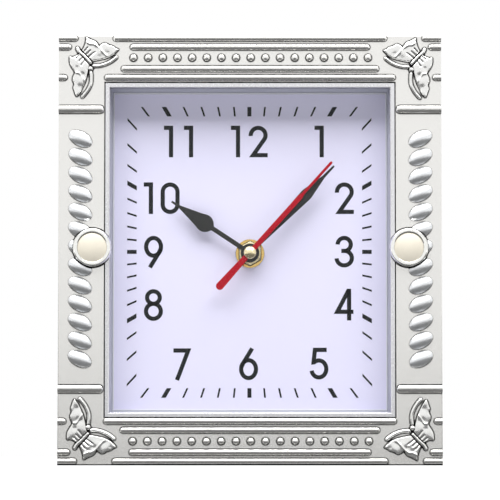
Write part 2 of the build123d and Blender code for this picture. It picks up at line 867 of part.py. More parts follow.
def third_wheel():
    """Third wheel, driven by the seconds pinion, with the pinion that drives the centre wheel."""
    wheel = toothed(third_teeth, third_module, third_phase, third_spot, *layer(THIRD_LAYER))
    pinion = (third_pinion_teeth, centre_module, third_pinion_phase, third_spot)
    pinion_front = layer(CENTRE_LAYER)[0] - pinion_overhang
    wheel += toothed(*pinion, pinion_front, layer(THIRD_LAYER)[0], pinion=True)
    return wheel + arbor(third_spot)


def intermediate_wheel():
    """Wheel that the rotor drives, with the pinion that drives the seconds wheel."""
    near, far = layer(ROTOR_LAYER)
    wheel = toothed(intermediate_teeth, rotor_module, intermediate_phase, intermediate_spot, near, far)
    pinion = (intermediate_pinion_teeth, seconds_module, intermediate_pinion_phase, intermediate_spot)
    wheel += toothed(*pinion, layer(SECONDS_LAYER)[0] - pinion_overhang, near, pinion=True)
    return wheel + arbor(intermediate_spot)


def rotor():
    """Magnet of the stepping motor on its pinion."""
    body = toothed(rotor_teeth, rotor_module, rotor_phase, rotor_spot, *widened(ROTOR_LAYER), pinion=True)
    body += post(magnet_radius, layer(THIRD_LAYER)[0], layer(SECONDS_LAYER)[1], *rotor_spot)
    return body + arbor(rotor_spot)


def motion_wheel():
    """Motion wheel and its pinion, loose on a stud of the case."""
    near, far = layer(MOTION_LAYER)
    wheel = toothed(motion_teeth, minute_module, motion_phase, motion_spot, near, far)
    pinion = (motion_pinion_teeth, hour_module, motion_pinion_phase, motion_spot)
    pinion_front = layer(HOUR_LAYER)[0] - pinion_overhang
    wheel += toothed(*pinion, pinion_front, near, pinion=True)
    return wheel - post(stud_radius + running_clearance, pinion_front, far, *motion_spot)


def set_knob():
    """Setting knob behind the movement, with a shaft and pinion on the motion wheel."""
    knob_front = movement_rear + knob_gap
    knob_rear = knob_front + knob_height
    grips = Circle(knob_radius)
    for index in range(knob_grips):
        grip_x, grip_z = around(360 * index / knob_grips, knob_radius)
        grips -= Pos(grip_x, grip_z) * Circle(knob_grip_radius)
    body = slab(Pos(knob_spot[0], hub_z + knob_spot[1]) * grips, knob_front, knob_rear)
    body += post(knob_shaft, floor_rear + running_clearance, knob_front, *knob_spot)
    body += post(knob_pivot, floor_rear - pivot_depth, floor_rear + running_clearance, *knob_spot)
    pinion = (knob_teeth, minute_module, knob_phase, knob_spot)
    return body + toothed(*pinion, *widened(MOTION_LAYER), pinion=True)


# Movement case, motor, circuit and cell

stator_front = (layer(THIRD_LAYER)[0] + layer(SECONDS_LAYER)[1] - stator_thickness) / 2
stator_rear = stator_front + stator_thickness
core_depth = stator_rear + core_thickness / 2
board_front = floor_rear + board_depth
board_rear = board_front + board_thickness
plate_posts = ((-13.0, -8.0), (13.0, -8.0), (-12.0, 16.0))
coil_ends = ((coil_left, coil_height), (coil_right, coil_height))
board_posts = ((board_x, board_z - board_post_offset), (board_x, board_z + board_post_offset))


def movement_box(bottom, top, inset, near, far):
    """Box between two heights of the movement, inset from its outer walls."""
    outline = Pos(0, hub_z + (bottom + top) / 2) * Rectangle(2 * (movement_half - inset), top - bottom)
    return slab(outline, near, far)


def movement_case():
    """Front tray of the movement with its posts, bearings, wheel stud and cell bay."""
    case = movement_box(-movement_half, movement_half, 0, movement_front, split_depth)
    case -= movement_box(bay_top + divider_wall, inner_half, movement_wall, floor_rear, split_depth)
    case -= movement_box(-inner_half, bay_top, movement_wall, floor_rear, split_depth)
    for spot in plate_posts:
        case += post(post_radius, floor_rear, gear_plate_front, *spot)
    for spot in coil_ends:
        case += post(post_radius, floor_rear, stator_front, *spot)
    for spot in board_posts:
        case += post(post_radius, floor_rear, board_front, *spot)
    case += post(stud_radius, floor_rear, layer(MOTION_LAYER)[1], *motion_spot)
    case -= post(bush_radius + seat_clearance, movement_front, floor_rear)
    pivot_hole = floor_rear - pivot_depth - running_clearance
    for spot in (third_spot, intermediate_spot, rotor_spot):
        case -= post(pivot_radius + running_clearance, pivot_hole, floor_rear, *spot)
    return case - post(knob_pivot + running_clearance, pivot_hole, floor_rear, *knob_spot)


def rear_cover():
    """Cap over the wheels, clear of the cell, with the bearing of the setting knob."""
    inside_rear = movement_rear - cover_wall
    cover = movement_box(bay_top, movement_half, 0, split_depth, movement_rear)
    cover -= movement_box(bay_top + divider_wall, inner_half, movement_wall, split_depth, inside_rear)
    return cover - post(knob_shaft + running_clearance, split_depth, movement_rear, *knob_spot)


def gear_plate():
    """Bearing plate behind the wheels."""
    middle = hub_z + (gear_plate_low + gear_plate_high) / 2
    outline = Pos(0, middle) * Rectangle(gear_plate_width, gear_plate_high - gear_plate_low)
    plate = slab(outline, gear_plate_front, gear_plate_rear)
    for spot in ((0, 0), third_spot, intermediate_spot, rotor_spot):
        plate -= post(pivot_radius + running_clearance, gear_plate_front, gear_plate_rear, *spot)
    return plate - post(knob_shaft + running_clearance, gear_plate_front, gear_plate_rear, *knob_spot)


def stator():
    """Steel lamination round the rotor, with two legs to the coil core."""
    outline = Pos(*rotor_spot) * Circle(stator_eye)
    for x, z in coil_ends:
        knee = (x, z - stator_knee)
        outline += strip(rotor_spot, knee, stator_leg)
        outline += strip(knee, (x, z), stator_leg)
    outline -= Pos(*rotor_spot) * Circle(stator_hole)
    return slab(Pos(0, hub_z) * outline, stator_front, stator_rear)


def along_coil(length, radius):
    """Round bar along X, centred on the coil."""
    middle = (coil_left + coil_right) / 2
    return place(middle, core_depth, hub_z + coil_height) * Rot(0, 90, 0) * Cylinder(radius, length)


def coil_core():
    """Soft iron bar that bridges the stator's legs."""
    middle = (coil_left + coil_right) / 2
    length = coil_right - coil_left + stator_leg
    return place(middle, core_depth, hub_z + coil_height) * Box(length, core_thickness, core_width)


def bobbin():
    """Spool on the coil core."""
    length = coil_right - coil_left - 2 * bobbin_end_gap
    middle = (coil_left + coil_right) / 2
    spool = along_coil(length, bobbin_radius)
    flange_shift = (length - bobbin_flange_thickness) / 2
    for side in (-1, 1):
        spool += Pos(side * flange_shift, 0, 0) * along_coil(bobbin_flange_thickness, bobbin_flange)
    slot = Box(length, core_thickness + 2 * seat_clearance, core_width + 2 * seat_clearance)
    return spool - place(middle, core_depth, hub_z + coil_height) * slot


def coil_winding():
    """Copper winding between the bobbin's flanges."""
    length = coil_right - coil_left - 2 * (bobbin_end_gap + bobbin_flange_thickness + seat_clearance)
    return along_coil(length, winding_radius) - along_coil(length, bobbin_radius + hand_bore_clearance)


def circuit_board():
    outline = Pos(board_x, hub_z + board_z) * Rectangle(board_width, board_height)
    return slab(outline, board_front, board_rear)


def crystal():
    """Quartz crystal can lying on the board."""
    depth = board_rear + crystal_radius + hand_bore_clearance
    height = hub_z + board_z + board_height / 4
    return place(board_x, depth, height) * Cylinder(crystal_radius, crystal_length)


def chip():
    """Clock chip under its round black cover."""
    return post(chip_radius, board_rear, board_rear + chip_height, board_x, board_z - board_height / 4)


def along_cell(radius, start, end):
    """Round bar along X on the axis of the cell."""
    middle = place((start + end) / 2, cell_depth, hub_z + cell_z)
    return middle * Rot(0, 90, 0) * Cylinder(radius, end - start)


def cell():
    """AA cell with its button."""
    start = -(cell_length + button_length) / 2
    shoulder = start + cell_length
    body = along_cell(cell_radius, start, shoulder)
    return body + along_cell(button_radius, shoulder, shoulder + button_length)


def contact(side):
    """Leaf contact on one end wall of the cell bay, with a pressed bump."""
    wall = inner_half
    cell_end = (cell_length + button_length) / 2
    leaf = place(side * (wall - contact_thickness / 2), cell_depth, hub_z + cell_z)
    plate = leaf * Box(contact_thickness, contact_width, contact_width)
    ends = sorted((side * (cell_end + contact_gap), side * (wall - contact_thickness)))
    return plate + along_cell(contact_bump, *ends)


parts = {
    "front_frame": front_frame(),
    "bezel": bezel(),
    "lens": lens(),
    "dial_surround": dial_surround(),
    "dial": dial(),
    "left_cabochon": cabochon(-1),
    "right_cabochon": cabochon(1),
    "left_cabochon_ring": cabochon_ring(-1),
    "right_cabochon_ring": cabochon_ring(1),
    "surround_screws": surround_screws(),
    "back_panel": back_panel(),
    "panel_screws": panel_screws(),
    "strut": strut(),
    "strut_pin": strut_pin(),
    "hour_hand": hour_hand(),
    "minute_hand": minute_hand(),
    "second_hand": second_hand(),
    "hand_cap": hand_cap(),
    "washer": washer(),
    "hex_nut": hex_nut(),
    "centre_bush": centre_bush(),
    "gasket": gasket(),
    "hour_wheel": hour_wheel(),
    "motion_wheel": motion_wheel(),
    "minute_wheel": minute_wheel(),
    "third_wheel": third_wheel(),
    "seconds_wheel": seconds_wheel(),
    "intermediate_wheel": intermediate_wheel(),
    "rotor": rotor(),
    "set_knob": set_knob(),
    "movement_case": movement_case(),
    "rear_cover": rear_cover(),
    "gear_plate": gear_plate(),
    "stator": stator(),
    "coil_core": coil_core(),
    "bobbin": bobbin(),
    "coil_winding": coil_winding(),
    "circuit_board": circuit_board(),
    "crystal": crystal(),
    "chip": chip(),
    "cell": cell(),
    "positive_contact": contact(1),
    "negative_contact": contact(-1),
}

os.makedirs("parts", exist_ok=True)
for name, shape in parts.items():
    export_step(shape, f"parts/{name}.step")
    print(name, round(shape.volume, 1))
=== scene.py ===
# %% [markdown]
# # Photo frame clock
# A silver plastic frame clock, seen from the front: moulded relief on a flat border, a sunk dial behind a
# pane, three hands, and an easel strut behind. The CAD nodes carry the sizes. This script gives them their
# finish, and makes again the pieces whose look needs more than a plain solid.
# Lengths are in millimetres here and become metres when a mesh is made. Depth runs backwards from the
# flat face of the frame, as in the CAD.

# %% Load the CAD frame
import json
import math
import bmesh
import bpy
import numpy as np
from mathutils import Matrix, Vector


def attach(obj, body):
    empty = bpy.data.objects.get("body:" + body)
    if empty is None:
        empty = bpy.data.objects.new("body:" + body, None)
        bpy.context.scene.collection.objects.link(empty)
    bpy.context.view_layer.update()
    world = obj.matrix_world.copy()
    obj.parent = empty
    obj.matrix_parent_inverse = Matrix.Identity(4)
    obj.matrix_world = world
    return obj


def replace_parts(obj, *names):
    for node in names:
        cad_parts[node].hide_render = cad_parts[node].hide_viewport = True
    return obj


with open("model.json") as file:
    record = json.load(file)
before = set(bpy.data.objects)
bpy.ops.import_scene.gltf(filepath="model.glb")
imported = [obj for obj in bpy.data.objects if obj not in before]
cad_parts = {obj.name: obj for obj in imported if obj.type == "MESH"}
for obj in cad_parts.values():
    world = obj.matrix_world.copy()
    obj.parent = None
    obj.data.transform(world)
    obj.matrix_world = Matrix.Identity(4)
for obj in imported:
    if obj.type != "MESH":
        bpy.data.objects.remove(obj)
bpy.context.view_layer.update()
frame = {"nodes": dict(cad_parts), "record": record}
scene = bpy.context.scene
print("CAD nodes:", len(frame["nodes"]))

# %% Driving sizes
MM = 0.001  # metres in a millimetre
FACE = -16.9  # y of the frame's flat face
MIDDLE = 101.0  # height of the middle of the frame
HUB = 100.0  # height of the hands' axis
SIDE = 90.0  # half the frame's width
OPENING_WIDE, OPENING_HIGH = 68.4, 78.9  # half sizes of the opening in the frame
WELL_WIDE, WELL_HIGH = 65.85, 76.35  # half sizes of the well inside the bezel
DIAL = 14.0  # depth of the dial card's front
RING_X, RING_Z = 74.2, 101.7  # middle of the right cabochon ring in the CAD
print("Frame:", 2 * SIDE, "by", 2 * MIDDLE, "mm")

# %% [markdown]
# ## Mesh helpers
# Every piece here is one of a few kinds: a moulding that runs round a rectangle, a turned piece, a plate cut
# to an outline, or a relief raised from a grid. Each kind gets a helper, so a piece is only its numbers.
# Edges that bend by more than the given angle stay sharp, and the others shade smoothly.

# %% Helpers for any mesh


def in_metres(x, depth, z):
    """Place in the scene of a point given in millimetres."""
    return (x * MM, (depth + FACE) * MM, z * MM)


def finish_mesh(obj, sharp=35.0):
    """Weld, turn the faces outwards, shade smooth and mark the sharp edges."""
    work = bmesh.new()
    work.from_mesh(obj.data)
    bmesh.ops.remove_doubles(work, verts=work.verts, dist=1e-7)
    bmesh.ops.recalc_face_normals(work, faces=work.faces)
    limit = math.radians(sharp)
    for face in work.faces:
        face.smooth = True
    for edge in work.edges:
        edge.smooth = len(edge.link_faces) == 2 and edge.calc_face_angle(0.0) < limit
    work.to_mesh(obj.data)
    work.free()
    return obj


def new_mesh(name, points, faces, sharp=35.0):
    """Object from points given as (x, depth, z)."""
    mesh = bpy.data.meshes.new(name)
    mesh.from_pydata([in_metres(*point) for point in points], [], faces)
    obj = bpy.data.objects.new(name, mesh)
    scene.collection.objects.link(obj)
    return finish_mesh(obj, sharp)


def gather(points, faces, more, sides):
    """Add one shape's points and faces to the lists of a larger mesh."""
    faces += [tuple(i + len(points) for i in side) for side in sides]
    points += more


def joined(name, objects):
    """One object from several."""
    work = bmesh.new()
    for obj in objects:
        work.from_mesh(obj.data)
        bpy.data.objects.remove(obj)
    mesh = bpy.data.meshes.new(name)
    work.to_mesh(mesh)
    work.free()
    obj = bpy.data.objects.new(name, mesh)
    scene.collection.objects.link(obj)
    return obj


def bake(obj):
    """Turn what an object's modifiers make into its plain mesh."""
    bpy.context.view_layer.update()
    baked = bpy.data.meshes.new_from_object(obj.evaluated_get(bpy.context.evaluated_depsgraph_get()))
    obj.modifiers.clear()
    obj.data = baked


print("Helpers for any mesh ready")

# %% Helpers for lines


def arc(x, z, radius_x, radius_z, start, end, steps=24):
    """Points on an ellipse between two angles in degrees, anticlockwise from the right."""
    angles = [math.radians(start + (end - start) * i / steps) for i in range(steps + 1)]
    return [(x + radius_x * math.cos(a), z + radius_z * math.sin(a)) for a in angles]


def spline(points, steps=8):
    """Smooth open line through points."""
    last = len(points) - 1
    line = []
    for span in range(last):
        a, b, c, d = (np.array(points[min(max(span + k, 0), last)], float) for k in (-1, 0, 1, 2))
        for step in range(steps):
            t = step / steps
            line.append(tuple(0.5 * (2 * b + (c - a) * t + (2 * a - 5 * b + 4 * c - d) * t**2
                                     + (3 * b - a - 3 * c + d) * t**3)))
    line.append(tuple(np.array(points[last], float)))
    return line


def dome(radius, rise, top, steps):
    """Section of a shallow dome, from its rim to its top, as (radius, depth)."""
    ball = (radius**2 + rise**2) / (2 * rise)
    lean = math.asin(radius / ball)
    turns = [lean * k / steps for k in range(steps, -1, -1)]
    return [(ball * math.sin(turn), top + ball * (1 - math.cos(turn))) for turn in turns]


def rounded(section, steps=4):
    """Round a closed section. Each corner is (across, depth, radius)."""
    result = []
    for index, (across, depth, radius) in enumerate(section):
        here = Vector((across, depth))
        if radius == 0:
            result.append(here)
            continue
        back = (Vector(section[index - 1][:2]) - here).normalized()
        ahead = (Vector(section[(index + 1) % len(section)][:2]) - here).normalized()
        half = back.angle(ahead) / 2
        centre = here + (back + ahead).normalized() * radius / math.sin(half)
        first = here + back * radius / math.tan(half) - centre
        last = here + ahead * radius / math.tan(half) - centre
        turn = first.angle_signed(last)
        for step in range(steps + 1):
            angle = -turn * step / steps
            swing = (first.x * math.cos(angle) - first.y * math.sin(angle),
                     first.x * math.sin(angle) + first.y * math.cos(angle))
            result.append(centre + Vector(swing))
    return [(point[0], point[1]) for point in result]


print("Helpers for lines ready")

# %% Helpers for mouldings, turned pieces and plates


def moulding(name, half_width, half_height, section, tall=1.0):
    """Sweep a closed section round a rectangle, with mitred corners. The ends are tall times the sides."""
    loops = rounded(section)
    corners = ((-1, -1), (1, -1), (1, 1), (-1, 1))
    points = [(sx * (half_width + across), depth, MIDDLE + sz * (half_height + tall * across))
              for across, depth in loops for sx, sz in corners]
    faces = []
    for index in range(len(loops)):
        following = (index + 1) % len(loops)
        for side in range(4):
            ahead = (side + 1) % 4
            faces.append((4 * index + side, 4 * index + ahead, 4 * following + ahead, 4 * following + side))
    return new_mesh(name, points, faces)


def spun(name, section_at, x, z, steps=72, sharp=35.0):
    """Spin a closed section of (radius, depth), which may change with the angle, about the depth axis."""
    points = []
    for step in range(steps):
        angle = 2 * math.pi * step / steps
        section = section_at(angle)
        points += [(x + r * math.cos(angle), depth, z + r * math.sin(angle)) for r, depth in section]
    count = len(section)
    faces = []
    for step in range(steps):
        ahead = (step + 1) % steps
        for index in range(count):
            following = (index + 1) % count
            faces.append((step * count + index, step * count + following,
                          ahead * count + following, ahead * count + index))
    return new_mesh(name, points, faces, sharp)


def turned(name, section, x, z, steps=72, sharp=35.0):
    """Piece with the same closed section all round."""
    return spun(name, lambda angle: section, x, z, steps, sharp)


def plate(name, outline, near, far, bevel=0.0):
    """Plate of an outline of (x, z), its front edge bevelled if asked."""
    points = [(x, near, z) for x, z in outline] + [(x, far, z) for x, z in outline]
    count = len(outline)
    faces = [tuple(range(count)), tuple(range(2 * count - 1, count - 1, -1))]
    faces += [(i, (i + 1) % count, count + (i + 1) % count, count + i) for i in range(count)]
    obj = new_mesh(name, points, faces)
    if bevel:
        work = bmesh.new()
        work.from_mesh(obj.data)
        front = (near + FACE) * MM + 1e-7
        edges = [e for e in work.edges if all(v.co.y < front for v in e.verts)]
        bmesh.ops.bevel(work, geom=edges, offset=bevel * MM, segments=2, profile=0.6, affect="EDGES",
                        clamp_overlap=True)
        work.to_mesh(obj.data)
        work.free()
        finish_mesh(obj)
    return obj


print("Helpers for kinds of piece ready")

# %% [markdown]
# ## Finishes
# Each material starts from one colour and is varied by noise in object space, so the pattern stays on the
# piece as it moves. Plastics get a faint mottling and a fine grain in their roughness. The silver paint is
# mostly metal, so it turns bright and dark with the light as sprayed plastic does. Where asked, a painted
# shade also darkens the colour in narrow crevices, standing in for the shadow lines there.

# %% Helpers for materials
PAINTED_SHADE_BLACK, PAINTED_SHADE_END = 0.8, 0.94  # open share of the surroundings where the painted shade is black, and where it ends
NOISE_LOW, NOISE_HIGH = 0.3, 0.7  # part of the noise that the two shades of a colour span
GRAIN_DEPTH = 0.0001


def material(name, colour, roughness, metallic, vary, scale, grain=0.0, rough_vary=0.06, crevice=0.0,
             **sockets):
    """Principled material with colour and roughness broken up by noise, and painted shade in crevices if
    asked.
    """
    mat = bpy.data.materials.new(name)
    mat.use_nodes = True
    nodes, links = mat.node_tree.nodes, mat.node_tree.links
    shader = nodes["Principled BSDF"]
    place = nodes.new("ShaderNodeTexCoord")
    noise = nodes.new("ShaderNodeTexNoise")
    noise.inputs["Scale"].default_value = scale
    noise.inputs["Detail"].default_value = 3.0
    links.new(place.outputs["Object"], noise.inputs["Vector"])
    ramp = nodes.new("ShaderNodeValToRGB")
    dark, light = ramp.color_ramp.elements
    dark.position, light.position = NOISE_LOW, NOISE_HIGH
    dark.color = [min(1.0, c * (1 - vary)) for c in colour] + [1.0]
    light.color = [min(1.0, c * (1 + vary)) for c in colour] + [1.0]
    links.new(noise.outputs["Fac"], ramp.inputs["Fac"])
    colour_out = ramp.outputs["Color"]
    if crevice:
        # Painted shade: the colour goes darker where nearby surfaces close a point in, as shadow does in
        # crevices.
        nearby = nodes.new("ShaderNodeAmbientOcclusion")
        nearby.inputs["Distance"].default_value = crevice
        nearby.samples = 16
        shade_ramp = nodes.new("ShaderNodeMapRange")
        shade_ramp.inputs["From Min"].default_value = PAINTED_SHADE_BLACK
        shade_ramp.inputs["From Max"].default_value = PAINTED_SHADE_END
        links.new(nearby.outputs["AO"], shade_ramp.inputs["Value"])
        painted_shade = nodes.new("ShaderNodeVectorMath")
        painted_shade.operation = "SCALE"
        links.new(colour_out, painted_shade.inputs["Vector"])
        links.new(shade_ramp.outputs["Result"], painted_shade.inputs["Scale"])
        colour_out = painted_shade.outputs["Vector"]
    links.new(colour_out, shader.inputs["Base Color"])
    spread = nodes.new("ShaderNodeMapRange")
    spread.inputs["To Min"].default_value = max(0.0, roughness - rough_vary)
    spread.inputs["To Max"].default_value = min(1.0, roughness + rough_vary)
    links.new(noise.outputs["Fac"], spread.inputs["Value"])
    links.new(spread.outputs["Result"], shader.inputs["Roughness"])
    shader.inputs["Metallic"].default_value = metallic
    if grain:
        bump = nodes.new("ShaderNodeBump")
        bump.inputs["Strength"].default_value = grain
        bump.inputs["Distance"].default_value = GRAIN_DEPTH
        links.new(noise.outputs["Fac"], bump.inputs["Height"])
        links.new(bump.outputs["Normal"], shader.inputs["Normal"])
    for socket, value in sockets.items():
        shader.inputs[socket.replace("_", " ")].default_value = value
    return mat


def srgb(red, green, blue):
    """Linear colour from the 0 to 255 values of a picture."""
    def one(value):
        value /= 255.0
        return value / 12.92 if value <= 0.04045 else ((value + 0.055) / 1.055) ** 2.4
    return (one(red), one(green), one(blue))


print("Helpers for materials ready")

# %% Finishes by slot
finishes = {}


def add_finish(slot, *numbers, **sockets):
    """Make a material and keep it under the name of its slot."""
    finishes[slot] = material(slot.replace("_", " "), *numbers, **sockets)


# Colour, roughness, share of metal, change of colour, scale of the noise, grain, change of roughness.
# The last number, where given, is the reach of the painted shade in crevices, in metres.
add_finish("silver_paint", srgb(236, 235, 232), 0.22, 0.85, 0.035, 2600.0, 0.05, crevice=0.001)
add_finish("soft_silver", srgb(234, 236, 238), 0.34, 0.85, 0.03, 2600.0, 0.05, crevice=0.0009)
add_finish("fine_silver", srgb(236, 236, 234), 0.22, 0.85, 0.035, 2600.0, 0.05, crevice=0.0006)
add_finish("bezel_silver", srgb(228, 228, 231), 0.26, 0.8, 0.03, 2600.0, 0.04, crevice=0.0006)
add_finish("surround_grey", srgb(176, 178, 190), 0.5, 0.0, 0.03, 1500.0, 0.05)
add_finish("surround_painted_highlight", srgb(226, 227, 234), 0.4, 0.0, 0.02, 1500.0)
add_finish("clear_pane", (0.9, 0.92, 0.95), 0.04, 0.0, 0.02, 300.0, 0.0, 0.01, Alpha=0.01,
           Specular_IOR_Level=0.05)
add_finish("dial_card", srgb(228, 226, 250), 0.6, 0.0, 0.012, 1800.0, 0.02)
add_finish("cream_stone", srgb(236, 229, 212), 0.45, 0.0, 0.03, 160.0, 0.0, 0.03, Coat_Weight=0.12,
           Coat_Roughness=0.15)
add_finish("bright_ring", srgb(244, 244, 240), 0.12, 0.95, 0.02, 700.0, 0.0, 0.03)
add_finish("hand_black", srgb(38, 39, 38), 0.42, 0.0, 0.08, 1500.0, 0.03, Specular_IOR_Level=0.25)
add_finish("hand_red", srgb(170, 5, 28), 0.4, 0.0, 0.05, 1500.0, 0.03, Specular_IOR_Level=0.12)
add_finish("brass", srgb(218, 186, 116), 0.2, 0.95, 0.05, 900.0, 0.02, crevice=0.0006)
add_finish("pale_brass", srgb(246, 232, 188), 0.26, 0.9, 0.04, 900.0, 0.02)
add_finish("black_plastic", srgb(44, 44, 46), 0.5, 0.0, 0.1, 1400.0, 0.08)
add_finish("wheel_plastic", srgb(232, 230, 222), 0.4, 0.0, 0.03, 900.0)
add_finish("black_rubber", srgb(34, 34, 34), 0.75, 0.0, 0.1, 1500.0, 0.06)
add_finish("steel", srgb(190, 190, 188), 0.28, 0.95, 0.05, 1200.0, 0.03)
add_finish("copper_wire", srgb(190, 110, 66), 0.3, 0.9, 0.08, 2600.0, 0.1)
add_finish("board_green", srgb(40, 104, 62), 0.45, 0.0, 0.1, 700.0, 0.02)
add_finish("cell_jacket", srgb(70, 74, 80), 0.35, 0.3, 0.06, 500.0)
add_finish("dial_print", srgb(22, 25, 26), 0.55, 0.0, 0.12, 2200.0, Specular_IOR_Level=0.1)
print("Finishes:", ", ".join(finishes))

# %% Helpers for finished pieces


def even_shading(obj):
    """Let a broad face decide the shading at its edges, so that it looks flat up to its rounding."""
    weigh = obj.modifiers.new("even shading", "WEIGHTED_NORMAL")
    weigh.keep_sharp = True
    bake(obj)


def dress(obj, finish, body="case"):
    """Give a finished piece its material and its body."""
    even_shading(obj)
    obj.data.materials.clear()
    obj.data.materials.append(finishes[finish])
    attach(obj, body)
    return obj


print("Helpers for finished pieces ready")

# %% [markdown]
# ## The front frame
# The frame is one injection moulding, sprayed silver: a flat border, deep side walls, and bosses inside for
# the screws. A moulding swept round a rectangle gives it exact mitred corners and a soft front edge. A
# boolean then cuts the notch that the foot of the strut folds into.

# %% Frame shell
border, border_end = 21.6, 22.1
skin, wall = 2.5, 2.5
case_deep = 38.0
shell = moulding("frame_shell", OPENING_WIDE, OPENING_HIGH, [
    (0.0, skin, 0.0),
    (0.0, 0.0, 0.35),
    (border, 0.0, 0.4),
    (border, case_deep, 0.4),
    (border - wall, case_deep, 0.3),
    (border - wall, skin, 0.0),
], border_end / border)
print("Frame border", border, "mm wide, shell", case_deep, "mm deep")

# %% Bosses and notch
boss_root = 2.3
panel_boss, panel_boss_end, panel_boss_x = 3.5, 33.0, 80.5
tab_boss, tab_boss_end, tab_x = 2.8, 12.2, 78.55
tab_heights = (61.0, 141.0)
notch_half, notch_low, notch_high = 22.6, -2.0, 2.6


def boss(x, z, radius, end):
    """Round post behind the face of the frame."""
    return turned("boss", [(0, boss_root), (radius, boss_root), (radius, end), (0, end)], x, z, steps=24)


bosses = []
for side in (-1, 1):
    bosses += [boss(side * panel_boss_x, z, panel_boss, panel_boss_end) for z in (9.5, 192.5)]
    bosses += [boss(side * tab_x, z, tab_boss, tab_boss_end) for z in tab_heights]
notch = plate("notch", [(-notch_half, notch_low), (notch_half, notch_low), (notch_half, notch_high),
                        (-notch_half, notch_high)], 35.0, 40.0)
cut = shell.modifiers.new("notch", "BOOLEAN")
cut.operation = "DIFFERENCE"
cut.solver = "EXACT"
cut.object = notch
bake(shell)
bpy.data.objects.remove(notch)
shell = finish_mesh(joined("frame_shell", [shell] + bosses), sharp=30.0)
print("Frame shell:", len(shell.data.polygons), "faces")

# %% [markdown]
# ## Half-round bars
# Thin half-round bars frame a row of beads at the top and at the bottom, with short stubs at the outer edges
# and a longer divider above and below each row of beans. Each is a rod with ball ends, half sunk in the
# face. Only those of the upper half are listed, and a mirror image makes the lower half. A bar that runs off
# the frame is pressed flat at its edge, so its end looks cut.

# %% Helper for half-round bars
ROD_RISE = 0.8  # height of a bar as a share of its radius
ROD_SUNK = 0.08  # share of a half turn that goes on below the face at either side
ROD_LEAN = 0.16  # how far a bar's crest leans upwards, as a share of its radius


def rod(x0, x1, z, radius, steps=20, ball_steps=8):
    """Half-round bar along X with ball ends, as points and faces."""
    turns = [math.pi / 2 * i / ball_steps for i in range(ball_steps + 1)]
    rings = [(x0 + radius * (1 - math.cos(turn)), radius * math.sin(turn)) for turn in turns]
    rings += [(x1 - radius * (1 - math.cos(turn)), radius * math.sin(turn)) for turn in reversed(turns)]
    points, faces = [], []
    for x, r in rings:
        for step in range(steps + 1):
            angle = math.pi * (step / steps * (1 + 2 * ROD_SUNK) - ROD_SUNK)
            up = r * (math.cos(angle) + ROD_LEAN * math.sin(angle))
            points.append((x, -r * ROD_RISE * math.sin(angle), z + up))
    width = steps + 1
    for ring in range(len(rings) - 1):
        for step in range(steps):
            faces.append((ring * width + step, ring * width + step + 1,
                          (ring + 1) * width + step + 1, (ring + 1) * width + step))
    return points, faces


print("Helper for bars ready")

# %% Bars, stubs and dividers
opening_top = MIDDLE + OPENING_HIGH
bar_radius, divider_radius = 1.38, 1.85
divider_up, divider_long = 65.7, 21.4
stub_past, divider_past = 1.6, 2.0  # how far a ball end lies beyond the frame's edge
bars_raised, edge_inset = 0.2, 0.03
bar_rows = [(20.5, 64.5), (16.3, 56.5), (6.0, 60.7), (1.85, 68.5)]  # above the opening, half length
stub_rows = [(20.5, 9.1), (16.3, 6.0), (1.85, 4.1)]  # above the opening, length

bars = [(-half, half, opening_top + up, bar_radius) for up, half in bar_rows]
ends = [(opening_top + up, length, bar_radius, stub_past) for up, length in stub_rows]
ends.append((MIDDLE + divider_up, divider_long, divider_radius, divider_past))
for z, length, radius, past in ends:
    bars.append((-SIDE - past, -SIDE + length, z, radius))
    bars.append((SIDE - length, SIDE + past, z, radius))
bars += [(x0, x1, 2 * MIDDLE - z, radius) for x0, x1, z, radius in bars]

x_limit = SIDE - edge_inset
z_limit = 2 * MIDDLE - edge_inset
points, faces = [], []
for x0, x1, z, radius in bars:
    more, sides = rod(x0, x1, z, radius)
    within = [(min(max(x, -x_limit), x_limit), depth, min(max(height + bars_raised, edge_inset), z_limit))
              for x, depth, height in more]
    gather(points, faces, within, sides)
bar_piece = new_mesh("relief_bars", points, faces, sharp=50.0)
print("Bars:", len(bars))

# %% [markdown]
# ## Beads and beans
# Seventeen beads stand in each frieze, and thirteen slanted beans climb each side like a twisted rope. Both
# are one shape repeated along a line, so a Geometry Nodes tree places them: a line of points, an instance
# turned by the slant on each, and a flat back that sits inside the face of the frame. Where a cabochon ring
# covers the beans, they are cut away.

# %% Node tree for rows of domes


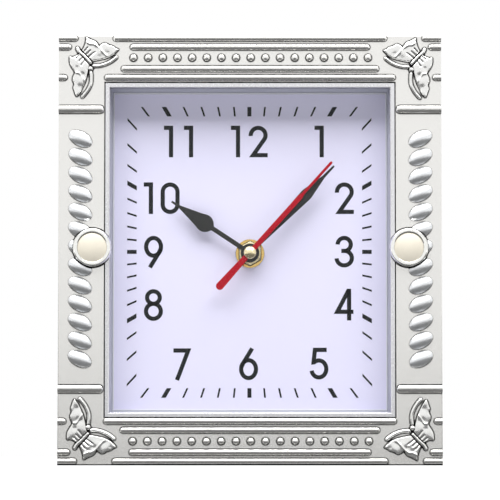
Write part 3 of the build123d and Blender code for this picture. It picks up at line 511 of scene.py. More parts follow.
def row_tree(name, finish):
    """Line of points, each with a flat-backed egg turned about the depth axis."""
    tree = bpy.data.node_groups.new(name, "GeometryNodeTree")
    tree.interface.new_socket("Geometry", in_out="OUTPUT", socket_type="NodeSocketGeometry")
    inputs = {"Count": "Int", "Start": "Vector", "Step": "Vector", "Size": "Vector", "Slant": "Float",
              "Back": "Float"}
    for label, kind in inputs.items():
        tree.interface.new_socket(label, in_out="INPUT", socket_type="NodeSocket" + kind)
    nodes, links = tree.nodes, tree.links
    given = nodes.new("NodeGroupInput")
    ball = nodes.new("GeometryNodeMeshUVSphere")
    ball.inputs["Segments"].default_value = 32
    ball.inputs["Rings"].default_value = 18
    ball.inputs["Radius"].default_value = 1.0
    shape = nodes.new("GeometryNodeTransform")
    links.new(ball.outputs["Mesh"], shape.inputs["Geometry"])
    links.new(given.outputs["Size"], shape.inputs["Scale"])
    position = nodes.new("GeometryNodeInputPosition")
    split = nodes.new("ShaderNodeSeparateXYZ")
    links.new(position.outputs["Position"], split.inputs["Vector"])
    lowest = nodes.new("ShaderNodeMath")
    lowest.operation = "MINIMUM"
    links.new(split.outputs["Y"], lowest.inputs[0])
    links.new(given.outputs["Back"], lowest.inputs[1])
    flat = nodes.new("ShaderNodeCombineXYZ")
    links.new(split.outputs["X"], flat.inputs["X"])
    links.new(lowest.outputs["Value"], flat.inputs["Y"])
    links.new(split.outputs["Z"], flat.inputs["Z"])
    settle = nodes.new("GeometryNodeSetPosition")
    links.new(shape.outputs["Geometry"], settle.inputs["Geometry"])
    links.new(flat.outputs["Vector"], settle.inputs["Position"])
    turn = nodes.new("ShaderNodeCombineXYZ")
    links.new(given.outputs["Slant"], turn.inputs["Y"])
    line = nodes.new("GeometryNodeMeshLine")
    line.mode = "OFFSET"
    links.new(given.outputs["Count"], line.inputs["Count"])
    links.new(given.outputs["Start"], line.inputs["Start Location"])
    links.new(given.outputs["Step"], line.inputs["Offset"])
    put = nodes.new("GeometryNodeInstanceOnPoints")
    links.new(line.outputs["Mesh"], put.inputs["Points"])
    links.new(settle.outputs["Geometry"], put.inputs["Instance"])
    links.new(turn.outputs["Vector"], put.inputs["Rotation"])
    real = nodes.new("GeometryNodeRealizeInstances")
    links.new(put.outputs["Instances"], real.inputs["Geometry"])
    paint = nodes.new("GeometryNodeSetMaterial")
    paint.inputs["Material"].default_value = finishes[finish]
    links.new(real.outputs["Geometry"], paint.inputs["Geometry"])
    result = nodes.new("NodeGroupOutput")
    links.new(paint.outputs["Geometry"], result.inputs["Geometry"])
    return tree


def dome_row(name, tree, **values):
    """Bake one row from the tree."""
    obj = bpy.data.objects.new(name, bpy.data.meshes.new(name))
    scene.collection.objects.link(obj)
    modifier = obj.modifiers.new(name, "NODES")
    modifier.node_group = tree
    for socket in tree.interface.items_tree:
        if socket.in_out == "INPUT":
            modifier[socket.identifier] = values[socket.name]
    bake(obj)
    return obj


dome_tree = row_tree("row of domes", "silver_paint")
print("Tree for rows of domes:", len(dome_tree.nodes), "nodes")

# %% Rows of beads
bead_count, bead_step, bead_radius = 17, 6.9, 1.66
bead_back = 0.4
bead_up = 11.2
beads_right, beads_raised = 0.35, 0.35
bead_start = beads_right - bead_count // 2 * bead_step
bead_rows = [dome_row("bead_row", dome_tree, Count=bead_count,
                      Start=in_metres(bead_start, 0.0, z + beads_raised), Step=(bead_step * MM, 0.0, 0.0),
                      Size=(bead_radius * MM,) * 3, Slant=0.0, Back=bead_back * MM)
             for z in (opening_top + bead_up, 2 * MIDDLE - opening_top - bead_up)]
beads = finish_mesh(joined("relief_beads", bead_rows), sharp=60.0)
print("Beads:", len(beads.data.polygons), "faces")

# %% Rows of beans
bean_count, bean_step, bean_slant = 13, 8.63, 27.0
bean_long, bean_deep, bean_wide = 6.65, 3.7, 3.88
bean_sunk, bean_back = 1.6, -1.2
bean_x, beans_right, beans_raised = 79.85, 0.2, 0.35
ring_cover = 8.5
bean_start = MIDDLE + beans_raised - bean_count // 2 * bean_step
bean_rows = [dome_row("bean_row", dome_tree, Count=bean_count,
                      Start=in_metres(side * bean_x + beans_right, bean_sunk, bean_start),
                      Step=(0.0, 0.0, bean_step * MM), Size=(bean_long * MM, bean_deep * MM, bean_wide * MM),
                      Slant=math.radians(-side * bean_slant), Back=bean_back * MM)
             for side in (-1, 1)]
beans = finish_mesh(joined("relief_beans", bean_rows), sharp=60.0)
work = bmesh.new()
work.from_mesh(beans.data)
for side in (-1, 1):
    under_ring = []
    for face in work.faces:
        centre = face.calc_center_median() / MM
        if math.hypot(centre.x - side * RING_X, centre.z - RING_Z) < ring_cover:
            under_ring.append(face)
    bmesh.ops.delete(work, geom=under_ring, context="FACES")
work.to_mesh(beans.data)
work.free()
print("Beans:", len(beans.data.polygons), "faces")

# %% [markdown]
# ## Corner butterflies
# Each corner carries a butterfly with its head towards the dial, carved into the mould by hand. A flat
# cut-out would lose the carving, so the relief is raised from a fine grid: the distance to the wing's outline
# gives a steep rim and a swelling middle, and veins, folds and hollows are pressed into it. What lies outside
# stays below the face, so the outline comes out clean. Mirror images make the other corners, and each is
# moved a little to its own place. The drawing is measured from the frame's upper left corner, to the right
# and down.

# %% Butterfly drawing
upper_wing = (spline([(10.8, 7.75), (12.4, 3.8), (12.45, 0.95)])
              + spline([(12.45, 0.95), (15.0, 2.45), (17.4, 3.5), (18.9, 5.7)])
              + spline([(18.9, 5.7), (20.4, 4.5), (21.9, 4.1), (23.3, 5.0), (24.2, 5.3), (25.6, 5.7),
                        (26.9, 6.7), (28.5, 7.1)])
              + spline([(28.5, 7.1), (25.6, 10.0), (22.0, 11.75), (15.5, 13.1)]))
lower_wing = (spline([(9.75, 9.3), (6.8, 10.7), (4.8, 10.4)])
              + spline([(4.8, 10.4), (5.1, 14.3), (7.5, 18.3)])
              + spline([(7.5, 18.3), (6.5, 20.2), (6.3, 22.0), (7.0, 23.6), (6.6, 25.4), (7.2, 27.2),
                        (7.6, 28.6), (8.4, 30.0)])
              + spline([(8.4, 30.0), (10.4, 27.3), (12.7, 22.0), (14.5, 14.7)]))
feelers = [spline([(16.3, 15.1), (19.2, 14.95), (21.9, 14.2), (24.6, 12.9), (26.9, 11.1)]),
           spline([(15.0, 18.2), (15.2, 20.9), (14.9, 23.6), (13.3, 26.9), (11.0, 29.7)])]
trunk = spline([(8.7, 6.8), (9.6, 8.4), (11.8, 10.4), (14.7, 13.4)])
head_u, head_v, head_radius = 14.9, 16.4, 1.25
veins = [((12.0, 8.1), (13.5, 6.5)), ((12.7, 9.9), (14.8, 7.9)), ((13.9, 11.0), (17.0, 8.7)),
         ((8.1, 11.7), (9.6, 10.4)), ((9.6, 12.9), (10.8, 11.6)), ((10.5, 14.9), (12.1, 12.8))]
folds = [spline([(12.3, 3.4), (14.7, 4.8), (16.5, 4.9), (18.9, 6.5), (20.7, 8.7), (22.3, 10.2)]),
         spline([(7.6, 18.4), (9.4, 18.6), (11.0, 20.6), (12.4, 22.6)])]
# Place, radius and depth of each hollow.
hollows = [(22.6, 9.2, 1.9, 0.36), (19.2, 11.0, 1.6, 0.2), (10.9, 19.6, 1.5, 0.42), (9.8, 25.2, 1.7, 0.36),
           (8.6, 16.0, 1.0, 0.2), (14.6, 5.6, 1.2, 0.18), (17.2, 7.2, 1.1, 0.16), (25.6, 7.4, 1.1, 0.16)]
print("Butterfly: 2 wings,", len(veins), "veins,", len(hollows), "hollows")

# %% Helpers for the relief


def line_distance(u, v, line):
    """Distance from grid points to a chain of straight pieces."""
    best = np.full(u.shape, 1e9)
    for (u0, v0), (u1, v1) in zip(line[:-1], line[1:]):
        du, dv = u1 - u0, v1 - v0
        t = np.clip(((u - u0) * du + (v - v0) * dv) / max(du * du + dv * dv, 1e-12), 0, 1)
        best = np.minimum(best, np.hypot(u - u0 - t * du, v - v0 - t * dv))
    return best


def inside(u, v, line):
    """Which grid points lie within a closed line."""
    result = np.zeros(u.shape, bool)
    for (u0, v0), (u1, v1) in zip(line, line[1:] + line[:1]):
        if v0 != v1:
            crosses = ((v0 > v) != (v1 > v)) & (u < (u1 - u0) * (v - v0) / (v1 - v0) + u0)
            result ^= crosses
    return result


def rim(depth_in, height, run):
    """Rise from an edge: steep at first, level after the run."""
    t = np.clip(depth_in / run, -1.0, 1.0)
    return height * np.sign(t) * (1 - (1 - np.abs(t)) ** 2)


print("Helpers for the relief ready")

# %% Heights of the relief
grid = 0.22
outside = -0.6  # height where there is no butterfly, below the face
carved = 0.3  # height from which folds, hollows and veins take hold
wing_rise, wing_run = 0.95, 0.5
swell_rise, swell_run = 0.35, 1.6
fold_rise, fold_wide = 0.34, 0.48
vein_deep, vein_wide = 0.42, 0.36
feeler_half, feeler_rise, feeler_run, feeler_reach = 0.92, 1.05, 0.75, 0.4
trunk_half, trunk_rise, trunk_run, trunk_reach = 0.95, 1.45, 0.7, 1.5
head_rise, relief_limit = 1.7, 1.95

u, v = np.meshgrid(np.arange(3.6, 29.8, grid), np.arange(0.35, 31.2, grid), indexing="ij")
height = np.full(u.shape, outside)
for wing in (upper_wing, lower_wing):
    edge = line_distance(u, v, wing + wing[:1])
    edge = np.where(inside(u, v, wing), edge, -edge)
    swell = rim(edge, wing_rise, wing_run) + swell_rise * (1 - np.exp(-np.maximum(edge, 0) / swell_run))
    height = np.maximum(height, swell)
for fold in folds:
    raised = fold_rise * np.exp(-(line_distance(u, v, fold) / fold_wide) ** 2)
    height = np.where(height > carved, height + raised, height)
for u0, v0, size, deep in hollows:
    pressed = deep * np.exp(-((u - u0) ** 2 + (v - v0) ** 2) / size**2)
    height = np.where(height > carved, height - pressed, height)
for vein in veins:
    pressed = vein_deep * np.exp(-(line_distance(u, v, vein) / vein_wide) ** 2)
    height = np.where(height > carved, height - pressed, height)
for feeler in feelers:
    away = line_distance(u, v, feeler)
    ridge = rim(feeler_half - away, feeler_rise, feeler_run)
    height = np.maximum(height, np.where(away < feeler_half + feeler_reach, ridge, outside))
away = line_distance(u, v, trunk)
ridge = rim(trunk_half - away, trunk_rise, trunk_run)
height = np.maximum(height, np.where(away < trunk_reach, ridge, outside))
skull = 1.0 - ((u - head_u) ** 2 + (v - head_v) ** 2) / head_radius**2
ball = head_rise * np.sign(skull) * np.sqrt(np.abs(skull))
height = np.maximum(height, np.where(skull > -0.5, ball, outside))
height = np.clip(height, outside, relief_limit)
print("Relief grid:", u.shape, "highest", round(float(height.max()), 2), "mm")

# %% Butterflies at the four corners
skirt = -0.35  # height below which the grid is left out, apart from one cell all round
kept = height > skirt
used = kept.copy()
used[1:] |= kept[:-1]
used[:-1] |= kept[1:]
used[:, 1:] |= kept[:, :-1]
used[:, :-1] |= kept[:, 1:]
number = np.full(u.shape, -1)
number[used] = np.arange(used.sum())
quads = np.stack([number[:-1, :-1], number[1:, :-1], number[1:, 1:], number[:-1, 1:]], axis=-1)
quads = quads.reshape(-1, 4)
quads = quads[(quads >= 0).all(axis=1)]

# Mirrored across and upwards: how far the butterfly moves right and up.
corner_shift = {(1, 1): (0.1, 0.7), (1, -1): (-0.45, 1.3), (-1, 1): (0.85, 0.2), (-1, -1): (0.75, 1.0)}
points, faces = [], []
for (mirror_x, mirror_z), (right, up) in corner_shift.items():
    x = mirror_x * (-SIDE + u[used]) + right
    z = MIDDLE + mirror_z * (MIDDLE - v[used]) + up
    cells = quads if mirror_x * mirror_z > 0 else quads[:, ::-1]
    gather(points, faces, list(zip(x.tolist(), (-height[used]).tolist(), z.tolist())), cells.tolist())
butterflies = new_mesh("relief_butterflies", points, faces, sharp=180.0)
facing = sum(face.normal.y * face.area for face in butterflies.data.polygons)
if facing > 0:
    butterflies.data.flip_normals()
print("Butterflies:", len(butterflies.data.polygons), "faces")

# %% Frame pieces onto the case
for piece in (shell, bar_piece, beads):
    dress(piece, "silver_paint")
dress(beans, "soft_silver")
dress(butterflies, "fine_silver")
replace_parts(shell, "front_frame")
print("Frame pieces: 5")

# %% [markdown]
# ## Bezel and dial surround
# A thin bezel strip lines the opening and holds the pane. Behind it a grey surround slopes in to the dial and
# ends in a narrow ledge. A thin strip over the ledge is painted paler than the surround, a painted highlight
# for the light the ledge catches. All run round the same rectangle, so each is one section swept round it.
# Tabs on the surround take its screws.

# %% Bezel
bezel_front, bezel_seat, bezel_back = 0.3, 2.5, 4.3  # depths
bezel_inner, pane_edge, bezel_outer, flange = -2.55, -1.1, -0.3, 3.2  # across, from the opening's edge
bezel = moulding("bezel_strip", OPENING_WIDE, OPENING_HIGH, [
    (bezel_inner, bezel_front, 0.5),
    (bezel_outer, bezel_front, 0.3),
    (bezel_outer, bezel_seat, 0.0),
    (flange, bezel_seat, 0.0),
    (flange, bezel_back, 0.0),
    (pane_edge, bezel_back, 0.0),
    (pane_edge, bezel_seat, 0.0),
    (bezel_inner, bezel_seat, 0.0),
])
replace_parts(dress(bezel, "bezel_silver"), "bezel")
print("Bezel:", len(bezel.data.polygons), "faces")

# %% Surround with its tabs
rim_back, wall_end, ledge_front = 6.1, 12.5, 12.9  # depths
ledge_in, wall_in, wall_out, rim_out, foot_out = -1.6, -0.75, 1.6, 4.2, 9.2  # across, from the well's edge
surround = moulding("surround_wall", WELL_WIDE, WELL_HIGH, [
    (0.0, bezel_back, 0.0),
    (wall_in, wall_end, 0.0),
    (ledge_in, ledge_front, 0.15),
    (ledge_in, DIAL, 0.0),
    (foot_out, DIAL, 0.0),
    (foot_out, tab_boss_end, 0.0),
    (wall_out, tab_boss_end, 0.0),
    (wall_out, rim_back, 0.0),
    (rim_out, rim_back, 0.0),
    (rim_out, bezel_back, 0.0),
])
tab_root, tab_radius = 74.0, 3.5
tab_line = [(tab_root, -tab_radius), (tab_x, -tab_radius)]
tab_line += arc(tab_x, 0, tab_radius, tab_radius, -80, 80, 12)
tab_line += [(tab_x, tab_radius), (tab_root, tab_radius)]
tabs = [plate("tab", [(side * x, z + up) for x, up in tab_line], tab_boss_end, DIAL)
        for side in (-1, 1) for z in tab_heights]
surround = finish_mesh(joined("surround_wall", [surround] + tabs))
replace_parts(dress(surround, "surround_grey"), "dial_surround")
print("Surround:", len(surround.data.polygons), "faces")

# %% Painted highlight on the surround's ledge
# A thin strip over the ledge takes a paler colour than the surround: a painted highlight where the ledge
# catches the light.
lip_front = 12.4
lip_edge, lip_in, lip_out = -1.62, -1.5, -1.1
lip = moulding("surround_lip", WELL_WIDE, WELL_HIGH, [
    (lip_out, lip_front, 0.0),
    (lip_in, lip_front, 0.1),
    (lip_edge, ledge_front, 0.0),
    (lip_out, ledge_front, 0.0),
])
dress(lip, "surround_painted_highlight")
print("Pale edge:", len(lip.data.polygons), "faces")

# %% [markdown]
# ## Dial print
# The dial is printed in one dark ink: sixty radial marks cut off by a rectangular band, thick at the hours,
# and twelve plain numerals drawn with a pen of even width. Each digit is one to three pen strokes, so a
# stroke helper turns a centre line into a thin printed shape. The print sits a hair above the card.

# %% Pen strokes
PRINT_X, PRINT_Z = -0.28, 100.82
PRINT_NEAR, PRINT_FAR = 13.96, 14.02
PEN = 2.0
SHARPEST = 0.35  # limits how far the corner of a sharp bend reaches


def pen_stroke(line, closed):
    """Front, side and back faces of a stroke along a centre line, as points and faces."""
    line = [np.array(p, float) for p in line]
    count = len(line)
    left, right = [], []
    for index in range(count):
        back = line[index] - line[index - 1] if closed or index else line[1] - line[0]
        ahead = line[(index + 1) % count] - line[index] if closed or index < count - 1 else back
        back, ahead = back / np.linalg.norm(back), ahead / np.linalg.norm(ahead)
        bend = back + ahead
        bend /= np.linalg.norm(bend)
        out = np.array([-bend[1], bend[0]]) * PEN / 2 / max(SHARPEST, float(bend @ back))
        left.append(line[index] + out)
        right.append(line[index] - out)
    points = [(x, d, z) for d in (PRINT_NEAR, PRINT_FAR) for side in (left, right) for x, z in side]
    faces = []
    for index in range(count if closed else count - 1):
        following = (index + 1) % count
        a, b, c, d = index, following, count + following, count + index
        e, f, g, h = (k + 2 * count for k in (a, b, c, d))
        faces += [(a, b, c, d), (h, g, f, e), (a, e, f, b), (d, c, g, h)]
    if not closed:
        faces += [(0, count, 3 * count, 2 * count),
                  (count - 1, 3 * count - 1, 4 * count - 1, 2 * count - 1)]
    return points, faces


print("Pen", PEN, "mm wide")

# %% Digits
BOX_WIDE, BOX_HIGH = 9.0, 15.0


def loop(z, radius_x, radius_z):
    """Closed oval on the middle line of the box."""
    return arc(BOX_WIDE / 2, z, radius_x, radius_z, 0, 360, 48)[:-1]


def glyph(digit):
    """Pen strokes of one digit in its box, each with whether it closes. The lower left corner is (0, 0)."""
    r = 3.5
    if digit == 0:
        upper, lower = arc(4.5, 10.5, r, r, 0, 180)[:-1], arc(4.5, 4.5, r, r, 180, 360)[:-1]
        return [(upper + [(1.0, 10.5)] + lower + [(8.0, 4.5)], True)]
    if digit == 1:
        return [([(0.0, 14.05), (3.4, 14.05), (3.4, 0.0)], False)]
    if digit == 2:
        return [(arc(4.5, 10.5, r, r, 186, -32, 40) + [(2.1, 1.0), (BOX_WIDE, 1.0)], False)]
    if digit == 3:
        return [(arc(4.4, 10.9, 3.1, 3.1, 180, -82, 40), False),
                (arc(4.4, 4.45, 3.6, 3.45, 88, -178, 40), False),
                ([(3.0, 7.85), (5.0, 7.85)], False)]
    if digit == 4:
        return [([(6.85, 14.6), (1.35, 4.1), (BOX_WIDE, 4.1)], False),
                ([(6.95, 0.0), (6.95, BOX_HIGH)], False)]
    if digit == 5:
        return [([(8.2, 14.0), (2.65, 14.0), (2.0, 8.1)] + arc(4.5, 5.0, r, 4.0, 128, -168, 48), False)]
    if digit == 6:
        return [(loop(5.2, r, 4.2), True), ([(6.2, BOX_HIGH), (1.9, 7.9), (1.25, 6.4)], False)]
    if digit == 7:
        return [([(0.3, 14.0), (7.3, 14.0), (2.0, 0.0)], False)]
    if digit == 8:
        return [(loop(11.05, 3.0, 2.95), True), (loop(4.55, r, 3.55), True)]
    return [([(BOX_WIDE - x, BOX_HIGH - z) for x, z in line], closed) for line, closed in glyph(6)]


print("Digits in a box", BOX_WIDE, "by", BOX_HIGH, "mm")

# %% Numerals
# Digit, and the left and lower edges of its box from the middle of the print.
numerals = [(1, -8.8, 45.0), (2, -0.35, 45.0), (1, 30.9, 45.0), (2, 40.5, 18.0), (3, 40.5, -7.4),
            (4, 40.2, -32.5), (5, 28.3, -60.4), (6, -4.9, -60.7), (7, -36.2, -60.7), (8, -49.9, -32.7),
            (9, -49.9, -7.4), (1, -50.1, 18.0), (0, -42.1, 18.0), (1, -40.6, 45.0), (1, -31.1, 45.0)]
points, faces = [], []
for digit, left, low in numerals:
    for line, closed in glyph(digit):
        placed = [(PRINT_X + left + x, PRINT_Z + low + z) for x, z in line]
        gather(points, faces, *pen_stroke(placed, closed))
numeral_piece = new_mesh("dial_numerals", points, faces, sharp=20.0)
dress(numeral_piece, "dial_print")
print("Numerals:", len(numerals), "digits")

# %% Minute marks
band_outer_x, band_outer_z = 57.9, 69.0
band_inner_x, band_inner_z = 53.4, 64.5
hour_mark, minute_mark = 1.9, 0.85
spread_x = 1.019  # the marks fan out a little more across than upwards
box_sides = ((0, 1, 2, 3), (7, 6, 5, 4), (0, 4, 5, 1), (1, 5, 6, 2), (2, 6, 7, 3), (3, 7, 4, 0))
points, faces = [], []
for minute in range(60):
    angle = math.radians(6 * minute)
    run = np.array([spread_x * math.sin(angle), math.cos(angle)])
    run /= np.linalg.norm(run)
    wide = hour_mark if minute % 5 == 0 else minute_mark
    on_end = band_outer_z * abs(run[0]) < band_outer_x * abs(run[1])
    along, across, inner, outer = (1, (1.0, 0.0), band_inner_z, band_outer_z)
    if not on_end:
        along, across, inner, outer = (0, (0.0, 1.0), band_inner_x, band_outer_x)
    half = np.array(across) * (wide / 2 / abs(run[along]))
    near_point = run * inner / abs(run[along])
    far_point = run * outer / abs(run[along])
    corners = [near_point - half, near_point + half, far_point + half, far_point - half]
    box = [(PRINT_X + c[0], depth, PRINT_Z + c[1]) for depth in (PRINT_NEAR, PRINT_FAR) for c in corners]
    gather(points, faces, box, box_sides)
marks = new_mesh("dial_marks", points, faces, sharp=20.0)
dress(marks, "dial_print")
print("Minute marks:", len(points) // 8)

# %% [markdown]
# ## Cabochons and rings
# A domed cream stone sits in a bright plated ring at the middle of each side, over the beans. Both are turned
# pieces with smooth crowns, so their sections are drawn as curves and turned in fine steps.

# %% Cabochons and rings
stone_radius, stone_rise, stone_top, stone_skirt = 6.9, 1.7, -4.2, -1.3
ring_inner, ring_outer = 7.0, 9.1
ring_right, ring_raised = 0.25, 0.15
stone = [(0.0, 0.0), (stone_radius, 0.0), (stone_radius, stone_skirt)]
stone += dome(stone_radius, stone_rise, stone_top, 20)
crest = [(ring_outer, -1.9), (8.55, -2.88), (8.3, -3.0), (7.32, -3.0), (ring_inner, -2.84)]
band = [(ring_inner, 0.0), (ring_outer, 0.0)] + crest
for side, name in ((-1, "left"), (1, "right")):
    x, z = side * RING_X + ring_right, RING_Z + ring_raised
    gem = turned(name + "_stone", stone, x, z, steps=96, sharp=50.0)
    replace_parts(dress(gem, "cream_stone"), name + "_cabochon")
    ring = turned(name + "_ring", band, x, z, steps=96, sharp=50.0)
    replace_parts(dress(ring, "bright_ring"), name + "_cabochon_ring")
print("Stones and rings: 2 of each")

# %% [markdown]
# ## Hands and their clamp
# The hands are stamped from thin sheet and painted, so each is a plate with a softened front edge. They
# point up in their own drawing and are turned to about seven minutes past ten here. A domed brass cap closes
# the second hand, and a brass washer and hexagon nut clamp the movement to the dial.

# %% Hands
hour_turn, minute_turn, second_turn = 303.4, 44.0, 42.0  # degrees clockwise from twelve
hour_depth, minute_depth, second_depth = 9.95, 8.35, 6.75
sheet = 0.5
hour_hub, minute_hub, second_hub = 3.6, 4.4, 2.4
tail_radius, tail_low, tail_root = 1.85, -21.2, 1.27


def aimed(outline, degrees):
    """Turn an outline that points upwards clockwise about the hub."""
    a = math.radians(degrees)
    return [(x * math.cos(a) + z * math.sin(a), HUB - x * math.sin(a) + z * math.cos(a)) for x, z in outline]


def mirrored(line):
    """The other side of a hand, in the opposite direction."""
    return [(-x, z) for x, z in reversed(line)]


def with_hub(side_line, hub):
    """Closed outline from one side of a hand, given upwards from its hub, and its mirror image."""
    start = math.degrees(math.asin(side_line[0][0] / hub))
    return arc(0, 0, hub, hub, 90 + start, 450 - start, 40) + side_line + mirrored(side_line)


spade = spline([(1.1, 21.2), (3.1, 22.86), (4.15, 25.8), (2.99, 30.28), (0.7, 39.8)])
hour_side = [(1.1, 5.0), (1.1, 20.6)] + spade + [(0.45, 44.4)]
minute_side = [(1.0, 5.6), (2.8, 38.5), (0.7, 50.1), (0.45, 57.2)]
second_blade = [(1.2, 35.6), (0.65, 37.2), (0.65, 57.2), (0.4, 57.8)]
hub_start = math.degrees(math.asin(tail_root / second_hub)) - 90
second_side = arc(0, 0, second_hub, second_hub, hub_start, 60, 20) + second_blade
second_tail = arc(0, tail_low, tail_radius, tail_radius, 180, 360, 20)

hour_line = aimed(with_hub(hour_side, hour_hub), hour_turn)
minute_line = aimed(with_hub(minute_side, minute_hub), minute_turn)
second_line = aimed(second_tail + second_side + mirrored(second_side), second_turn)
hour_piece = plate("hour_blade", hour_line, hour_depth, hour_depth + sheet, bevel=0.16)
minute_piece = plate("minute_blade", minute_line, minute_depth, minute_depth + sheet, bevel=0.16)
second_piece = plate("second_blade", second_line, second_depth, second_depth + sheet, bevel=0.14)
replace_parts(dress(hour_piece, "hand_black", "hour_train"), "hour_hand")
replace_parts(dress(minute_piece, "hand_black", "minute_train"), "minute_hand")
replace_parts(dress(second_piece, "hand_red", "seconds_train"), "second_hand")
print("Hands: hour, minute, second")

# %% Cap and washer
cap_radius, cap_rise, cap_top, cap_skirt = 2.95, 1.3, 4.95, 6.45
washer_hole, washer_radius, washer_front, washer_chamfer = 4.05, 6.8, 13.5, 0.15
cap_line = [(0.0, second_depth), (cap_radius, second_depth), (cap_radius, cap_skirt)]
cap_line += dome(cap_radius, cap_rise, cap_top, 12)
cap = turned("cap_dome", cap_line, 0.0, HUB, sharp=50.0)
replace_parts(dress(cap, "pale_brass", "seconds_train"), "hand_cap")
washer_line = [(washer_hole, DIAL), (washer_radius, DIAL), (washer_radius, washer_front + washer_chamfer),
               (washer_radius - washer_chamfer, washer_front), (washer_hole, washer_front)]
disc = turned("washer_disc", washer_line, 0.0, HUB)
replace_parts(dress(disc, "brass"), "washer")
print("Cap and washer made")

# %% Nut
nut_half, nut_hole, nut_front = 5.0, 4.1, 11.3  # half its width across flats, radius of its hole, depth
crown_radius, crown_slope = 4.85, 0.9  # the corners fall away outside this radius
sixth = math.pi / 3


def nut_section(angle):
    """Section of the nut at an angle: its corners reach further out and fall away."""
    reach = nut_half / math.cos((angle + sixth / 2) % sixth - sixth / 2)
    corner_depth = nut_front + crown_slope * max(0.0, reach - crown_radius)
    return [(reach, washer_front), (reach, corner_depth), (crown_radius, nut_front), (nut_hole, nut_front),
            (nut_hole, washer_front)]


nut = spun("nut_hexagon", nut_section, 0.0, HUB)
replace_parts(dress(nut, "pale_brass"), "hex_nut")
print("Nut:", len(nut.data.polygons), "faces")

# %% [markdown]
# ## The other CAD nodes
# Everything else keeps its CAD mesh: the pane, the dial card, the movement with its wheels, the back panel,
# the strut and the cell. Each takes the finish that the record names for it.

# %% Finishes on CAD nodes
slot_of = {part["node"]: part["material_slot"] for part in frame["record"]["subparts"]}
dressed = 0
for name, obj in frame["nodes"].items():
    if obj.hide_render:
        continue
    obj.data.materials.clear()
    obj.data.materials.append(finishes[slot_of[name]])
    dressed += 1
print("CAD nodes dressed:", dressed)

# %% [markdown]
# ## Studio
# The clock was photographed against white, from a little below its middle, with a broad light above. The
# camera stands low, just over the floor, and looks slightly up at the middle of the face. Floor and air are
# white to whatever looks at them, and the floor is less so near the clock, to keep its shadow. As in a
# studio, a black card lies on the floor before the clock and draws the dark edges on bright metal. Only
# reflections see it. A second light shows the back. Lengths are in metres from here on.

# %% Camera
lens_mm, sensor_mm = 215.5, 36.0
reach = 1.4  # from the camera to the face of the frame
camera_low, aim_low = 0.096, 0.00025  # below the middle of the frame
camera_data = bpy.data.cameras.new("camera")
camera_data.lens = lens_mm
camera_data.sensor_width = sensor_mm
camera = bpy.data.objects.new("camera", camera_data)
camera.location = (0.0, FACE * MM - reach, MIDDLE * MM - camera_low)
camera.rotation_euler = (math.pi / 2 + math.atan((camera_low - aim_low) / reach), 0.0, 0.0)
scene.collection.objects.link(camera)
scene.camera = camera
print("Camera", [round(c, 4) for c in camera.location])

# %% Helpers for the studio


def grey(level):
    """Colour of one level."""
    return (level, level, level, 1.0)


def seen_ray(nodes, links):
    """One for the rays that look at the scene: from the camera, off metal or through the pane."""
    path = nodes.new("ShaderNodeLightPath")
    first = nodes.new("ShaderNodeMath")
    first.operation = "ADD"
    links.new(path.outputs["Is Camera Ray"], first.inputs[0])
    links.new(path.outputs["Is Glossy Ray"], first.inputs[1])
    both = nodes.new("ShaderNodeMath")
    both.operation = "ADD"
    both.use_clamp = True
    links.new(first.outputs["Value"], both.inputs[0])
    links.new(path.outputs["Is Transmission Ray"], both.inputs[1])
    return both.outputs["Value"]


def flat_sheet(name, x, y_front, y_back, z, level):
    """Level matt sheet that belongs to the studio, from -x to x."""
    mesh = bpy.data.meshes.new(name)
    mesh.from_pydata([(-x, y_front, z), (x, y_front, z), (x, y_back, z), (-x, y_back, z)], [], [(0, 1, 2, 3)])
    obj = bpy.data.objects.new(name, mesh)
    scene.collection.objects.link(obj)
    mat = bpy.data.materials.new(name)
    mat.use_nodes = True
    mesh.materials.append(mat)
    shader = mat.node_tree.nodes["Principled BSDF"]
    shader.inputs["Base Color"].default_value = grey(level)
    shader.inputs["Roughness"].default_value = 0.9
    shader.inputs["Specular IOR Level"].default_value = 0.0
    return obj


def soft_light(name, location, size, power, target=(0.0, 0.0, 0.1)):
    """Rectangular area light that faces the clock."""
    data = bpy.data.lights.new(name, "AREA")
    data.shape = "RECTANGLE"
    data.size, data.size_y = size
    data.energy = power
    obj = bpy.data.objects.new(name, data)
    obj.location = location
    obj.rotation_euler = (Vector(target) - Vector(location)).to_track_quat("-Z", "Y").to_euler()
    scene.collection.objects.link(obj)
    return obj


print("Helpers for the studio ready")

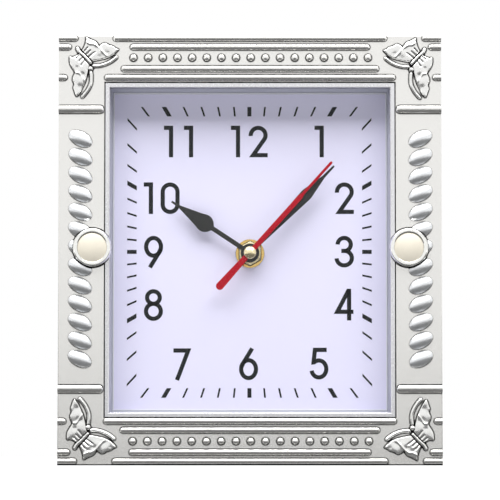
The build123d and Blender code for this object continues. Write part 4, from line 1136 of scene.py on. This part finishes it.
# %% Floor
floor_half, floor_level = 6, 0.55
shadow_reach, white_reach = 0.3, 1.2  # between them the floor's own white grows
shadow_white, full_white = 0.45, 1.0
floor = flat_sheet("floor", floor_half, -floor_half, floor_half, 0, floor_level)
tree = floor.data.materials[0].node_tree
shader = tree.nodes["Principled BSDF"]
shader.inputs["Emission Color"].default_value = grey(1.0)
place = tree.nodes.new("ShaderNodeTexCoord")
away = tree.nodes.new("ShaderNodeVectorMath")
away.operation = "LENGTH"
tree.links.new(place.outputs["Object"], away.inputs[0])
fade = tree.nodes.new("ShaderNodeMapRange")
for socket, value in (("From Min", shadow_reach), ("From Max", white_reach),
                      ("To Min", shadow_white), ("To Max", full_white)):
    fade.inputs[socket].default_value = value
tree.links.new(away.outputs["Value"], fade.inputs["Value"])
lift = tree.nodes.new("ShaderNodeMath")
lift.operation = "MULTIPLY"
tree.links.new(seen_ray(tree.nodes, tree.links), lift.inputs[0])
tree.links.new(fade.outputs["Result"], lift.inputs[1])
tree.links.new(lift.outputs["Value"], shader.inputs["Emission Strength"])
print("Floor", 2 * floor_half, "m wide")

# %% Air
air_level = 0.16
world = bpy.data.worlds.new("studio")
scene.world = world
world.use_nodes = True
nodes, links = world.node_tree.nodes, world.node_tree.links
background = nodes["Background"]
pick = nodes.new("ShaderNodeMix")
pick.data_type = "RGBA"
pick.inputs["A"].default_value = grey(air_level)
pick.inputs["B"].default_value = grey(1.0)
links.new(seen_ray(nodes, links), pick.inputs["Factor"])
links.new(pick.outputs["Result"], background.inputs["Color"])
background.inputs["Strength"].default_value = 1.0
print("Air lights with", air_level)

# %% Black card and lights
card = flat_sheet("card_below", x=0.55, y_front=-1.7, y_back=0.3, z=0.001, level=0.08)
card.visible_camera = card.visible_diffuse = card.visible_shadow = card.visible_transmission = False
soft_light("key", location=(0.0, -0.85, 1.6), size=(2.6, 0.9), power=54.0)
back = soft_light("back", location=(0.0, 1.3, 0.6), size=(1.2, 0.6), power=14.0)
back.visible_glossy = False
print("Studio ready")

# %% View transform
scene.view_settings.view_transform = "Standard"
